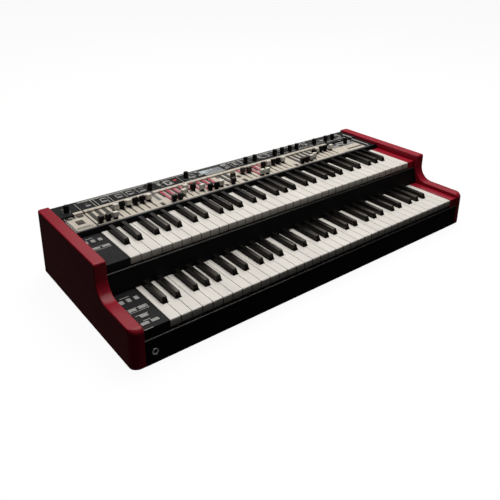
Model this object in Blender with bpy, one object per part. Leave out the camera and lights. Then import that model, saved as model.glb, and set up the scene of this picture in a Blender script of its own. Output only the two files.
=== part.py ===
# Two-manual electronic organ with drawbars, as an assembly of separate pieces.
# Metres, +Z up. +X runs to the player's right, +Y away from the player.
# The origin is on the ground, under the middle of the case.

import math

import bmesh
import bpy

MM = 0.001

# Case
CHEEK_THICKNESS = 26 * MM
CHEEK_HEIGHT = 153 * MM           # underside of the cheek to its top
SHELF_HEIGHT = 84 * MM            # underside of the cheek to the low front shelf
CHEEK_STEP = 137 * MM             # cheek front to its upright upper front
SWEEP_RADIUS = 36 * MM            # hollow curve between shelf and upright front
FRONT_CORNER_RADIUS = 18 * MM     # outer upright corner, seen from above
REAR_CORNER_RADIUS = 8 * MM
SHELF_EDGE_RADIUS = 11 * MM
UPPER_EDGE_RADIUS = 5 * MM
TOP_REAR_RADIUS = 5 * MM
LOW_EDGE_RADIUS = 3 * MM
LEFT_BLOCK_WIDTH = 54 * MM
RIGHT_BLOCK_WIDTH = 26 * MM
FOOT_HEIGHT = 7 * MM
FOOT_RADIUS = 13 * MM
FOOT_TAPER = 2 * MM
FOOT_INSET_X = 60 * MM            # foot centre from the case's inner side
FOOT_INSET_Y = 45 * MM            # foot centre from the cheek's front or back

# Clearances
SEAT_GAP = 0.3 * MM               # between pieces that touch
SIDE_GAP = 1.0 * MM               # between keys, and from a key to its neighbour panel

# Keys
OCTAVES = 5
NATURAL_PITCH = 23.5 * MM
NATURAL_HEAD = 49 * MM            # wide front part of a natural
NATURAL_HEIGHT = 15.6 * MM
KEY_VISIBLE = 128.5 * MM          # natural's front to the panel behind it
SHARP_WIDTH = 12 * MM
SHARP_TOP_WIDTH = 10.2 * MM
SHARP_RISE = 11.5 * MM
SHARP_SLOPE = 5 * MM
SHARP_EDGE = 1.8 * MM
OUTER_SHARP_SHIFT = 2.8 * MM      # C sharp and D sharp, from the naturals' joint
SPREAD_SHARP_SHIFT = 3.8 * MM     # F sharp and A sharp
KEY_DIP = 10 * MM                 # how far a pressed key's front goes down
PIVOT_DEPTH = 195 * MM            # natural's front to the hinge
TAIL_COVER = 3 * MM               # full-height tail hidden behind the panel
TAIL_RAMP = 6 * MM
TAIL_DROP = 4 * MM
TAIL_PAST_PIVOT = 5 * MM
COMB_RAIL = 8 * MM
SHARP_LEG_BACK = 35 * MM          # hinge to the back of the sharps' cross bar
SHARP_LEG_LENGTH = 10 * MM
SHARP_LEG_DROP = 6.8 * MM
SHARP_BAR_HEIGHT = 3.6 * MM
SHARP_BAR_INSET = 1 * MM
LOWER_KEY_TOP = 75 * MM           # above the cheek's underside
UPPER_KEY_RISE = 61.5 * MM        # upper key tops above the lower ones
KEY_SETBACK = 4.5 * MM            # cheek front to the lower keys' front
MANUAL_STEP = 143 * MM            # lower keys' front to the upper keys' front
SINGLE_KEYS = 2                   # naturals, and their sharps, made as single keys

# Keybeds
FULCRUM_GAP = 0.5 * MM
FULCRUM_WIDTH = 10 * MM
BED_CLEARANCE = 3 * MM            # under a pressed key
BED_SHEET = 2.5 * MM
BED_REAR = 8 * MM
BED_LEG_INSET = 32 * MM

# Rail, riser and blocks
RAIL_SETBACK = 1.5 * MM
RAIL_SHEET = 2.2 * MM
RAIL_TOP_DROP = 5 * MM            # naturals' underside to the rail's top edge
RAIL_FLANGE = 22 * MM
RISER_SHEET = 2.2 * MM
RISER_TOP_DROP = 3 * MM
RISER_LIFT = 3 * MM               # above the lower keys
RISER_LEAN = 10.5 * MM            # how far the riser's foot stands in front of its top
BLOCK_WALL = 2 * MM
BLOCK_COVER = 8 * MM              # how far a block reaches behind the panel

# Control panel
NOSE_LIFT = 2 * MM                # above the upper keys
NOSE_HEIGHT = 7 * MM
NOSE_SLANT = 6 * MM
NOSE_LAND = 3 * MM
DECK_SHEET = 2.2 * MM
DECK_DROP = 2.5 * MM              # drawbar deck below the nose's top
DECK_MARGIN = 13 * MM             # nose to the knob of a drawbar pulled out
CONTROL_SHEET = 1.8 * MM
CONTROL_RISE = 4 * MM             # control deck above the drawbar deck
STEP_SHEET = 2.2 * MM
PANEL_REAR = 2 * MM               # control deck's rear edge to the cheek's back
BOSS = 7 * MM
BOARD_LEAD = 12 * MM              # panel board in front of the step
BOARD_REAR = 8 * MM               # panel board to the back panel

# Drawbars
DRAWBAR_PITCH = 17 * MM
DRAWBAR_TRAVEL = 39 * MM
DRAWBAR_HOME = 25 * MM            # step to the knob's centre, bar pushed in
# From a set's last drawbar to the next set's first one, and from the keys' left edge to the first
SET_GAPS = {"first": 14 * MM, "second": 46 * MM, "bass": 34 * MM, "third": 41 * MM, "fourth": 38 * MM}
SET_PULLS = {"first": (38, 38, 38, 4, 0, 0, 0, 0, 0),
             "second": (38, 38, 24, 4, 12, 26, 36, 38, 34),
             "bass": (38, 12),
             "third": (0, 4, 38, 38, 0, 0, 0, 0, 0),
             "fourth": (38, 38, 36, 30, 11, 4, 2, 3, 8)}
PULLED_OUT = 24                   # pull, in millimetres, from which a bar counts as out
BAR_KNOB = (15 * MM, 10 * MM, 17 * MM)
BAR_KNOB_TAPER = 1.2 * MM
BAR_SHAFT_WIDTH = 8 * MM
BAR_SHAFT_THICKNESS = 1.6 * MM
BAR_STEM_WIDTH = 1.6 * MM
BAR_STEM_LENGTH = 4 * MM
BAR_STEM_REACH = 2 * MM           # stem below the deck
SLOT_CLEARANCE = 0.3 * MM
SHAFT_OVERLAP = 5 * MM            # shaft still under the step, bar fully out
REAR_LINK_THICKNESS = 1.6 * MM
FRONT_LINK_THICKNESS = 2 * MM
REAR_LINK_WIDTH = 2.6 * MM
REAR_LINK_DROP = 3 * MM           # shaft's underside to the rear link's underside
LINK_LAP = 0.3 * MM               # how far joined shapes reach into each other
LINK_CLEARANCE = 0.5 * MM         # between the links, arms and board under the panel

# Rotary knobs: a set, the drawbar lanes to the right of its first one, and millimetres behind the step
KNOB_RADIUS = 6 * MM
KNOB_HEIGHT = 17 * MM
KNOB_EDGE = 1.2 * MM
KNOB_LIFT = 0.4 * MM
KNOB_STEM_RADIUS = 3 * MM
KNOB_HOLE_CLEARANCE = 0.4 * MM
REAR_KNOBS = {"volume_knob": ("first", -2.5, 21), "rotary_drive_knob": ("first", 9.7, 21),
              "display_dial": ("second", 5.3, 30), "effect_rate_knob": ("third", 2.65, 22),
              "effect_depth_knob": ("third", 4.5, 22), "drive_knob": ("third", 8.65, 22),
              "bass_knob": ("fourth", 0, 22), "middle_knob": ("fourth", 1.7, 22),
              "treble_knob": ("fourth", 3.25, 22), "delay_mix_knob": ("fourth", 7.3, 22),
              "delay_time_knob": ("fourth", 10, 22), "reverb_knob": ("fourth", 11.65, 22)}
FRONT_KNOBS = {"split_knob": ("fourth", 12.5, -18)}

# Buttons
BUTTON_TRAVEL = 0.8 * MM
BUTTON_CLEARANCE = 0.35 * MM
BUTTON_PROUD = 1.6 * MM
SMALL_BUTTON = (9 * MM, 12 * MM)
WIDE_BUTTON = (16 * MM, 9 * MM)
PAD_WEB = 1.4 * MM
# Block buttons: millimetres from the keys' left edge, and behind the keys' front
LOWER_SMALL_BUTTONS = ((-15.5, 97.5), (-31, 97.5), (-46, 97.5))
LOWER_WIDE_BUTTONS = ((-21, 64.5), (-41, 64.5), (-31, 38.5), (-21, 16.5), (-41, 16.5))
UPPER_SMALL_BUTTONS = ((-15.5, 101.5), (-31, 101.5), (-46, 101.5))
UPPER_WIDE_BUTTONS = ((-18, 70.5), (-38, 70.5))
PANEL_BUTTON = (9 * MM, 6 * MM)
PANEL_BUTTON_PROUD = 1.2 * MM
# Control buttons: a set, and the lanes to the right of its first drawbar
CONTROL_BUTTONS = (("first", 0.5), ("first", 3.5), ("first", 5.5), ("first", 7.5), ("first", 9),
                   ("second", 1.5), ("second", 2.5), ("second", 3.5), ("second", 6.5), ("bass", 2.5),
                   ("third", 1.5), ("third", 6.5), ("third", 7.5), ("fourth", 4.5), ("fourth", 5.5),
                   ("fourth", 9), ("fourth", 13))
CONTROL_BUTTON_ROW = 34 * MM      # behind the step
# Deck buttons: a set, the lanes to the right of its first drawbar, and millimetres in front of the step
DECK_BUTTONS = (("first", -2.8, 10), ("first", -1.4, 10), ("first", -2.1, 39), ("first", 9, 63),
                ("second", 9, 60), ("bass", 2.25, 63), ("bass", 2.25, 33), ("third", 9, 62),
                ("fourth", 9.5, 16), ("fourth", 11, 27), ("fourth", 14, 16))
FINGER_WIDTH = 5 * MM
FINGER_THICKNESS = 1.6 * MM
REAR_BAR_DEPTH = 8 * MM
REAR_BAR_GAP = 3 * MM             # rear bar to the shafts before it and the sheet behind it
ARM_THICKNESS = 1.6 * MM

# Display
DISPLAY_LANES = ("bass", -2.2)    # its left edge
DISPLAY_SIZE = (72 * MM, 25 * MM)
DISPLAY_ROW = 26 * MM             # its front edge behind the step
DISPLAY_THICKNESS = 1.5 * MM

# Inside and rear
PAN_SHEET = 2 * MM
PAN_SIDE = 24 * MM
BACK_SHEET = 2 * MM
BACK_FLANGE = 12 * MM
BOARD_SHEET = 1.6 * MM
BOARD_LEG = 9 * MM
INNER_FRONT = 25 * MM             # keybed's rear leg to what stands behind it
MAIN_BOARD_X = 330 * MM
MAIN_BOARD_SIZE = (230 * MM, 150 * MM)
# Parts on the main board: millimetres from its left and front edges, width and height
CHIPS = ((50, 45, 24, 4), (120, 85, 30, 5), (190, 35, 18, 9))
POWER_SUPPLY_X = 40 * MM
POWER_SUPPLY_SIZE = (160 * MM, 100 * MM, 42 * MM)

# Sockets
JACK_BORE = 3.25 * MM
JACK_BARREL = 5 * MM
JACK_BODY = 14 * MM
JACK_LENGTH = 24 * MM
JACK_BORE_DEPTH = 22 * MM
HEADPHONE_X = -34 * MM
HEADPHONE_Z = 25 * MM
HEADPHONE_RING = 7 * MM
HEADPHONE_RING_THICKNESS = 1.2 * MM
HEADPHONE_LENGTH = 26.5 * MM
REAR_SOCKET_Z = 44 * MM
REAR_JACKS_X = (560, 588, 616, 644, 672)
DIN_SOCKETS_X = (490, 524)
DIN_RADIUS = 8.8 * MM
DIN_RECESS = 7 * MM
DIN_DEPTH = 7 * MM
BARREL_PROUD = 1.3 * MM
INLET_X = 90 * MM
INLET_SIZE = (46 * MM, 26 * MM, 22 * MM)
INLET_FLANGE = 3 * MM
INLET_FLANGE_SHEET = 1.3 * MM
INLET_SOCKET = (24 * MM, 17 * MM, 15 * MM)
INLET_SOCKET_SHIFT = -9 * MM
PIN = (2 * MM, 4 * MM, 12 * MM)
PIN_SPREAD = 7 * MM
PIN_RAISE = 4 * MM
ROCKER = (11 * MM, 18 * MM)
ROCKER_SHIFT = 14 * MM
ROCKER_TILT = 7.0                 # degrees either side of the middle
ROCKER_CLEARANCE = 0.4 * MM
ROCKER_END_CLEARANCE = 1.2 * MM
ROCKER_WELL = 9 * MM
ROCKER_DEPTH = 5 * MM
ROCKER_SET_BACK = 0.8 * MM        # the rocker's ends below the flange's face, half way through its throw
ROCKER_HOLLOW = 1 * MM            # the middle of its face below its ends

CYLINDER_SIDES = 12
ARC_STEPS = 5

# Derived places
NATURALS = 7 * OCTAVES + 1
CASE_WIDTH = LEFT_BLOCK_WIDTH + NATURALS * NATURAL_PITCH + RIGHT_BLOCK_WIDTH
CASE_LEFT = -CASE_WIDTH / 2
CASE_RIGHT = CASE_WIDTH / 2
KEYS_LEFT = CASE_LEFT + LEFT_BLOCK_WIDTH
KEYS_RIGHT = CASE_RIGHT - RIGHT_BLOCK_WIDTH
NOSE_DEPTH = NOSE_SLANT + NOSE_LAND
DECK_DEPTH = NOSE_DEPTH + DECK_MARGIN + BAR_KNOB[1] / 2 + DRAWBAR_TRAVEL + DRAWBAR_HOME
CONTROL_DEPTH = SHAFT_OVERLAP + DRAWBAR_TRAVEL + 2 * REAR_BAR_GAP + REAR_BAR_DEPTH + BACK_SHEET
DEPTH = KEY_SETBACK + MANUAL_STEP + KEY_VISIBLE + SIDE_GAP + DECK_DEPTH + CONTROL_DEPTH + PANEL_REAR
FRONT = -DEPTH / 2
BACK = DEPTH / 2
BASE = FOOT_HEIGHT

LOWER_FRONT = FRONT + KEY_SETBACK
UPPER_FRONT = LOWER_FRONT + MANUAL_STEP
LOWER_TOP = BASE + LOWER_KEY_TOP
UPPER_TOP = LOWER_TOP + UPPER_KEY_RISE
SLOT_FOR_SHARP = SHARP_WIDTH / 2 + SIDE_GAP
SHARP_FRONT = NATURAL_HEAD + SIDE_GAP
BED_TOP = -(NATURAL_HEIGHT + KEY_DIP + BED_CLEARANCE)   # from the key tops
FULCRUM_TOP = -(NATURAL_HEIGHT + FULCRUM_GAP)
BED_DEPTH = PIVOT_DEPTH + FULCRUM_WIDTH / 2 + BED_REAR

PAN_TOP = BASE + PAN_SHEET
NOSE_FRONT = UPPER_FRONT + KEY_VISIBLE + SIDE_GAP
NOSE_BOTTOM = UPPER_TOP + NOSE_LIFT
NOSE_TOP = NOSE_BOTTOM + NOSE_HEIGHT
DECK_TOP = NOSE_TOP - DECK_DROP
DECK_UNDER = DECK_TOP - DECK_SHEET
STEP_FRONT = NOSE_FRONT + DECK_DEPTH
CONTROL_TOP = DECK_TOP + CONTROL_RISE
CONTROL_UNDER = CONTROL_TOP - CONTROL_SHEET
CONTROL_BACK = STEP_FRONT + CONTROL_DEPTH
BACK_INSIDE = CONTROL_BACK - BACK_SHEET
BAR_HOME = STEP_FRONT - DRAWBAR_HOME
SHAFT_UNDER = DECK_TOP + SEAT_GAP
SHAFT_TOP = SHAFT_UNDER + BAR_SHAFT_THICKNESS
SHAFT_REAR = STEP_FRONT + SHAFT_OVERLAP + DRAWBAR_TRAVEL
REAR_LINK_UNDER = SHAFT_UNDER - REAR_LINK_DROP
ARM_TOP = min(DECK_UNDER, REAR_LINK_UNDER) - LINK_CLEARANCE
FRONT_LINK_TOP = ARM_TOP - ARM_THICKNESS - BUTTON_TRAVEL - LINK_CLEARANCE
PANEL_BOARD_TOP = FRONT_LINK_TOP
PANEL_BOARD_FRONT = STEP_FRONT - BOARD_LEAD
PANEL_BOARD_BACK = BACK_INSIDE - BOARD_REAR
REAR_BAR_FRONT = SHAFT_REAR + REAR_BAR_GAP
REAR_BAR_BACK = REAR_BAR_FRONT + REAR_BAR_DEPTH


def from_keys(place):
    """X of a place given in millimetres from the keys' left edge."""
    return KEYS_LEFT + place * MM


def from_step(place):
    """Y of a place given in millimetres behind the panel's step."""
    return STEP_FRONT + place * MM


def lane(drawbar_set, number):
    """X of a lane, counted from the first drawbar of a set."""
    x = KEYS_LEFT
    for name, gap in SET_GAPS.items():
        x += gap
        if name == drawbar_set:
            return x + number * DRAWBAR_PITCH
        x += (len(SET_PULLS[name]) - 1) * DRAWBAR_PITCH


# Mesh building

def mesh_from(build):
    """A mesh from a function that fills a bmesh, with its faces pointing out."""
    shape = bmesh.new()
    build(shape)
    bmesh.ops.recalc_face_normals(shape, faces=shape.faces[:])
    mesh = bpy.data.meshes.new("shape")
    shape.to_mesh(mesh)
    shape.free()
    return mesh


def add_box(shape, low, high):
    made = bmesh.ops.create_cube(shape, size=1.0)
    for vertex in made["verts"]:
        for axis in range(3):
            middle = (low[axis] + high[axis]) / 2
            vertex.co[axis] = middle + vertex.co[axis] * (high[axis] - low[axis])


def boxes(corners):
    """Separate closed boxes, each from its low and high corner."""
    def build(shape):
        for low, high in corners:
            add_box(shape, low, high)
    return mesh_from(build)


def add_prism(shape, outline, axis, start, end):
    """Extrude a flat outline along one axis; it is given in the two other axes, in order."""
    others = [i for i in range(3) if i != axis]
    ring = []
    for point in outline:
        place = [0.0, 0.0, 0.0]
        place[others[0]], place[others[1]] = point
        place[axis] = start
        ring.append(shape.verts.new(place))
    cap = shape.faces.new(ring)
    made = bmesh.ops.extrude_face_region(shape, geom=[cap], use_keep_orig=True)
    for item in made["geom"]:
        if isinstance(item, bmesh.types.BMVert):
            item.co[axis] = end


def prism(outline, axis, start, end):
    return mesh_from(lambda shape: add_prism(shape, outline, axis, start, end))


def add_cylinder(shape, centre, axis, radius, start, end, end_radius=None):
    """A cylinder or cone frustum along one axis, from start to end."""
    others = [i for i in range(3) if i != axis]
    rings = []
    for place, size in ((start, radius), (end, radius if end_radius is None else end_radius)):
        ring = []
        for step in range(CYLINDER_SIDES):
            angle = 2 * math.pi * (step + 0.5) / CYLINDER_SIDES
            point = [0.0, 0.0, 0.0]
            point[others[0]] = centre[0] + size * math.cos(angle)
            point[others[1]] = centre[1] + size * math.sin(angle)
            point[axis] = place
            ring.append(shape.verts.new(point))
        rings.append(ring)
    shape.faces.new(rings[0])
    shape.faces.new(rings[1])
    for step in range(CYLINDER_SIDES):
        following = (step + 1) % CYLINDER_SIDES
        shape.faces.new((rings[0][step], rings[0][following], rings[1][following], rings[1][step]))


def rounded(corners):
    """Outline through corners (a, b, radius), with each corner turned into an arc."""
    outline = []
    count = len(corners)
    for index, (a, b, radius) in enumerate(corners):
        if radius == 0:
            outline.append((a, b))
            continue
        before = corners[index - 1]
        after = corners[(index + 1) % count]
        to_before = (before[0] - a, before[1] - b)
        to_after = (after[0] - a, after[1] - b)
        length_before = math.hypot(*to_before)
        length_after = math.hypot(*to_after)
        unit_before = (to_before[0] / length_before, to_before[1] / length_before)
        unit_after = (to_after[0] / length_after, to_after[1] / length_after)
        half = math.acos(unit_before[0] * unit_after[0] + unit_before[1] * unit_after[1]) / 2
        middle = (unit_before[0] + unit_after[0], unit_before[1] + unit_after[1])
        scale = radius / math.sin(half) / math.hypot(*middle)
        centre = (a + middle[0] * scale, b + middle[1] * scale)
        reach = radius / math.tan(half)
        first = (a + unit_before[0] * reach - centre[0], b + unit_before[1] * reach - centre[1])
        last = (a + unit_after[0] * reach - centre[0], b + unit_after[1] * reach - centre[1])
        start = math.atan2(first[1], first[0])
        turn = math.atan2(last[1], last[0]) - start
        turn = (turn + math.pi) % (2 * math.pi) - math.pi
        for step in range(ARC_STEPS + 1):
            angle = start + turn * step / ARC_STEPS
            outline.append((centre[0] + radius * math.cos(angle), centre[1] + radius * math.sin(angle)))
    return outline


def combined(base, tool, operation):
    """The base mesh joined with, cut by or kept inside the tool mesh."""
    pair = [bpy.data.objects.new("shape", mesh) for mesh in (base, tool)]
    for item in pair:
        bpy.context.collection.objects.link(item)
    change = pair[0].modifiers.new("combine", "BOOLEAN")
    change.operation = operation
    change.solver = "EXACT"
    change.object = pair[1]
    evaluated = pair[0].evaluated_get(bpy.context.evaluated_depsgraph_get())
    result = bpy.data.meshes.new_from_object(evaluated)
    for item in pair:
        bpy.data.objects.remove(item)
    return result


def joined(base, tool):
    return combined(base, tool, "UNION")


def cut(base, tool):
    return combined(base, tool, "DIFFERENCE")


def together(meshes):
    """One mesh that holds several separate closed bodies."""
    def build(shape):
        for mesh in meshes:
            shape.from_mesh(mesh)
    return mesh_from(build)


# Materials and objects

def finish(name, colour, roughness, metallic=0.0):
    material = bpy.data.materials.new(name)
    material.use_nodes = True
    shader = material.node_tree.nodes["Principled BSDF"]
    shader.inputs["Base Color"].default_value = (*colour, 1.0)
    shader.inputs["Roughness"].default_value = roughness
    shader.inputs["Metallic"].default_value = metallic
    return material


def place(name, mesh, material, origin=(0.0, 0.0, 0.0), smooth_angle=None):
    """Add a finished piece; its origin is put where its joint's axis runs."""
    for vertex in mesh.vertices:
        vertex.co = (vertex.co[0] - origin[0], vertex.co[1] - origin[1], vertex.co[2] - origin[2])
    mesh.name = name
    mesh.materials.clear()
    mesh.materials.append(material)
    if smooth_angle:
        mesh.shade_smooth()
        mesh.set_sharp_from_angle(angle=math.radians(smooth_angle))
    piece = bpy.data.objects.new(name, mesh)
    bpy.context.collection.objects.link(piece)
    piece.location = origin
    return piece


# Case

def cheek_outline():
    corners = [
        (FRONT, BASE, LOW_EDGE_RADIUS),
        (FRONT, BASE + SHELF_HEIGHT, SHELF_EDGE_RADIUS),
        (FRONT + CHEEK_STEP, BASE + SHELF_HEIGHT, SWEEP_RADIUS),
        (FRONT + CHEEK_STEP, BASE + CHEEK_HEIGHT, UPPER_EDGE_RADIUS),
        (BACK, BASE + CHEEK_HEIGHT, TOP_REAR_RADIUS),
        (BACK, BASE, LOW_EDGE_RADIUS),
    ]
    return rounded(corners)


def cheek(name, inner, outward, material):
    """A thick shaped side: the side outline, kept inside a plan with rounded outer corners."""
    outer = inner + outward * CHEEK_THICKNESS
    side = prism(cheek_outline(), 0, min(inner, outer), max(inner, outer))
    corners = [(inner, FRONT, 0), (outer, FRONT, FRONT_CORNER_RADIUS),
               (outer, BACK, REAR_CORNER_RADIUS), (inner, BACK, 0)]
    above = BASE + CHEEK_HEIGHT + CHEEK_THICKNESS
    plan = prism(rounded(corners), 2, BASE - CHEEK_THICKNESS, above)
    place(name, combined(side, plan, "INTERSECT"), material, smooth_angle=35)


def pan_side_room(near, far):
    """Boxes around the pan's two upturned sides, from one Y to another."""
    reach = PAN_SHEET + 2 * SEAT_GAP
    top = BASE + PAN_SIDE + SEAT_GAP
    return boxes([((CASE_LEFT, near, BASE - reach), (CASE_LEFT + reach, far, top)),
                  ((CASE_RIGHT - reach, near, BASE - reach), (CASE_RIGHT, far, top))])


def base_pan(material):
    left, right = CASE_LEFT + SEAT_GAP, CASE_RIGHT - SEAT_GAP
    outline = [(left, BASE), (right, BASE), (right, BASE + PAN_SIDE), (right - PAN_SHEET, BASE + PAN_SIDE),
               (right - PAN_SHEET, PAN_TOP), (left + PAN_SHEET, PAN_TOP),
               (left + PAN_SHEET, BASE + PAN_SIDE), (left, BASE + PAN_SIDE)]
    front = FRONT + RAIL_SETBACK + RAIL_SHEET + SEAT_GAP
    place("base_pan", prism(outline, 1, front, BACK_INSIDE - SEAT_GAP), material)


def feet(material):
    for row, y in (("front", FRONT + FOOT_INSET_Y), ("rear", BACK - FOOT_INSET_Y)):
        for side, x in (("left", CASE_LEFT + FOOT_INSET_X), ("right", CASE_RIGHT - FOOT_INSET_X)):
            mesh = mesh_from(lambda shape: add_cylinder(shape, (x, y), 2, FOOT_RADIUS - FOOT_TAPER,
                                                        0.0, BASE - SEAT_GAP, FOOT_RADIUS))
            place(f"foot_{row}_{side}", mesh, material, smooth_angle=35)


def front_rail(material):
    """Upright front sheet with a flange on the pan, and a hole for the headphone socket."""
    front = FRONT + RAIL_SETBACK
    back = front + RAIL_SHEET
    top = LOWER_TOP - NATURAL_HEIGHT - RAIL_TOP_DROP
    flange = PAN_TOP + SEAT_GAP
    outline = [(front, BASE), (front, top), (back, top),
               (back, flange + RAIL_SHEET), (back + RAIL_FLANGE, flange + RAIL_SHEET),
               (back + RAIL_FLANGE, flange), (back, flange), (back, BASE)]
    sheet = prism(outline, 0, CASE_LEFT + SEAT_GAP, CASE_RIGHT - SEAT_GAP)
    sheet = cut(sheet, pan_side_room(back, back + 2 * RAIL_FLANGE))
    hole = mesh_from(lambda shape: add_cylinder(
        shape, (KEYS_LEFT + HEADPHONE_X, BASE + HEADPHONE_Z), 1, JACK_BARREL + SEAT_GAP,
        front - RAIL_SHEET, back + RAIL_SHEET))
    place("front_rail", cut(sheet, hole), material)


def riser_panel(material):
    top = UPPER_TOP - NATURAL_HEIGHT - RISER_TOP_DROP
    bottom = LOWER_TOP + RISER_LIFT
    back = UPPER_FRONT - SIDE_GAP
    outline = [(back - RISER_SHEET, top), (back, top), (back - RISER_LEAN, bottom),
               (back - RISER_LEAN - RISER_SHEET, bottom)]
    place("riser_panel", prism(outline, 0, CASE_LEFT + SEAT_GAP, CASE_RIGHT - SEAT_GAP), material)


def riser_back_at(height):
    """Y of the riser's back face at a height."""
    top = UPPER_TOP - NATURAL_HEIGHT - RISER_TOP_DROP
    bottom = LOWER_TOP + RISER_LIFT
    share = (top - height) / (top - bottom)
    return UPPER_FRONT - SIDE_GAP - RISER_LEAN * share


def block(name, left, right, front, top, material, holes=()):
    """An end block beside the keys: an open-bottomed shell that stands on the keybed."""
    back = front + KEY_VISIBLE + BLOCK_COVER
    floor = top + BED_TOP + SEAT_GAP
    shell = boxes([((left, front, floor), (right, back, top))])
    inside = ((left + BLOCK_WALL, front + BLOCK_WALL, floor - BLOCK_WALL),
              (right - BLOCK_WALL, back - BLOCK_WALL, top - BLOCK_WALL))
    shell = cut(shell, boxes([inside]))
    if holes:
        shell = cut(shell, boxes([((x - half_x, y - half_y, top - 2 * BLOCK_WALL),
                                   (x + half_x, y + half_y, top + BLOCK_WALL))
                                  for x, y, half_x, half_y in holes]))
    place(name, shell, material)


def button_places(small, wide, front):
    """Centre and half size of each button in an end block."""
    places = []
    for spots, size in ((small, SMALL_BUTTON), (wide, WIDE_BUTTON)):
        for x, y in spots:
            places.append((from_keys(x), front + y * MM, size[0] / 2, size[1] / 2))
    return places


def block_buttons(name, places, top, material):
    """Buttons that rise through a block's top from one keypad web below it."""
    under = top - BLOCK_WALL - SEAT_GAP
    web_low = [min(place[i] - place[i + 2] for place in places) + BUTTON_CLEARANCE for i in (0, 1)]
    web_high = [max(place[i] + place[i + 2] for place in places) - BUTTON_CLEARANCE for i in (0, 1)]
    web = boxes([((*web_low, under - PAD_WEB), (*web_high, under))])
    caps = boxes([((x - hx, y - hy, under - PAD_WEB / 2), (x + hx, y + hy, top + BUTTON_PROUD))
                  for x, y, hx, hy in places])
    middle = [(low + high) / 2 for low, high in zip(web_low, web_high)]
    place(name, joined(web, caps), material, origin=(*middle, under))


def widened(places):
    return [(x, y, hx + BUTTON_CLEARANCE, hy + BUTTON_CLEARANCE) for x, y, hx, hy in places]


# Keys

def sharp_centres():
    """X of each sharp from the keys' left edge, with the number of the natural before it."""
    shifts = {0: -OUTER_SHARP_SHIFT, 1: OUTER_SHARP_SHIFT,
              3: -SPREAD_SHARP_SHIFT, 4: 0.0, 5: SPREAD_SHARP_SHIFT}
    centres = []
    for octave in range(OCTAVES):
        for step, shift in shifts.items():
            before = 7 * octave + step
            centres.append((before, (before + 1) * NATURAL_PITCH + shift))
    return centres


def natural_span(number):
    """Left and right sides of a natural's head and of its tail."""
    left = number * NATURAL_PITCH + SIDE_GAP / 2
    right = (number + 1) * NATURAL_PITCH - SIDE_GAP / 2
    tail_left, tail_right = left, right
    for before, centre in sharp_centres():
        if before == number - 1:
            tail_left = centre + SLOT_FOR_SHARP
        if before == number:
            tail_right = centre - SLOT_FOR_SHARP
    return left, right, tail_left, tail_right


def naturals_mesh(numbers, front, top, railed):
    """Naturals from above, as cells of one sheet, closed below; a rail may join their tails."""
    ramp_start = KEY_VISIBLE + TAIL_COVER
    ramp_end = ramp_start + TAIL_RAMP
    tail_end = PIVOT_DEPTH + TAIL_PAST_PIVOT
    rail_front = PIVOT_DEPTH + SIDE_GAP * 2
    rail_back = rail_front + COMB_RAIL

    def height(depth):
        return 0.0 if depth <= ramp_start else -TAIL_DROP

    cells = []
    rail = []
    last = rail_front if railed else tail_end
    for number in numbers:
        left, right, tail_left, tail_right = natural_span(number)
        head = [(left, 0), (right, 0), (right, NATURAL_HEAD)]
        if tail_right < right:
            head.append((tail_right, NATURAL_HEAD))
        if tail_left > left:
            head.append((tail_left, NATURAL_HEAD))
        head.append((left, NATURAL_HEAD))
        cells.append(head)
        for near, far in ((NATURAL_HEAD, ramp_start), (ramp_start, ramp_end), (ramp_end, last)):
            cells.append([(tail_left, near), (tail_right, near), (tail_right, far), (tail_left, far)])
        rail += [(tail_left, rail_front), (tail_right, rail_front)]
    if railed:
        cells.append(rail + [(rail[-1][0], rail_back), (rail[0][0], rail_back)])

    def build(shape):
        layers = ({}, {})
        for cell in cells:
            for layer, store in enumerate(layers):
                ring = []
                for x, depth in cell:
                    z = top - NATURAL_HEIGHT if layer else top + height(depth)
                    key = (round(x, 6), round(depth, 6))
                    if key not in store:
                        store[key] = shape.verts.new((KEYS_LEFT + x, front + depth, z))
                    ring.append(store[key])
                shape.faces.new(ring[::-1] if layer else ring)
        upper = {vertex: key for key, vertex in layers[0].items()}
        rims = [edge for edge in shape.edges if edge.is_boundary and edge.verts[0] in upper]
        for edge in rims:
            a, b = (upper[vertex] for vertex in edge.verts)
            shape.faces.new((layers[0][a], layers[0][b], layers[1][b], layers[1][a]))
    return mesh_from(build)


def sharp_body(shape, centre, front, top, legged):
    """One sharp: a bevelled cap over a straight body and tail, with a leg to the cross bar."""
    rear = KEY_VISIBLE - SEAT_GAP
    tail_low = -NATURAL_HEIGHT
    leg_back = PIVOT_DEPTH - SHARP_LEG_BACK
    leg_front = leg_back - SHARP_LEG_LENGTH
    body = [(SHARP_FRONT, tail_low), (SHARP_FRONT, 0), (rear, 0), (rear, -TAIL_DROP),
            (PIVOT_DEPTH, -TAIL_DROP), (PIVOT_DEPTH, tail_low)]
    if legged:
        body += [(leg_back, tail_low), (leg_back, tail_low - SHARP_LEG_DROP),
                 (leg_front, tail_low - SHARP_LEG_DROP), (leg_front, tail_low)]
    cap = [(SHARP_FRONT, 0), (SHARP_FRONT + SHARP_SLOPE - SHARP_EDGE, SHARP_RISE - SHARP_EDGE),
           (SHARP_FRONT + SHARP_SLOPE, SHARP_RISE), (rear - SHARP_EDGE, SHARP_RISE),
           (rear, SHARP_RISE - SHARP_EDGE), (rear, 0)]
    sides = ({}, {})
    for side, store in zip((-1, 1), sides):
        for depth, z in body + cap:
            if (depth, z) in store:
                continue
            share = max(0.0, z / SHARP_RISE)
            half = SHARP_WIDTH / 2 * (1 - share) + SHARP_TOP_WIDTH / 2 * share
            store[(depth, z)] = shape.verts.new((KEYS_LEFT + centre + side * half, front + depth, top + z))
        for polygon in (body, cap):
            shape.faces.new([store[point] for point in polygon])
    outline = [body[0]] + cap[:-1] + body[2:]
    for index, point in enumerate(outline):
        following = outline[(index + 1) % len(outline)]
        shape.faces.new((sides[0][point], sides[0][following], sides[1][following], sides[1][point]))


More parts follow.
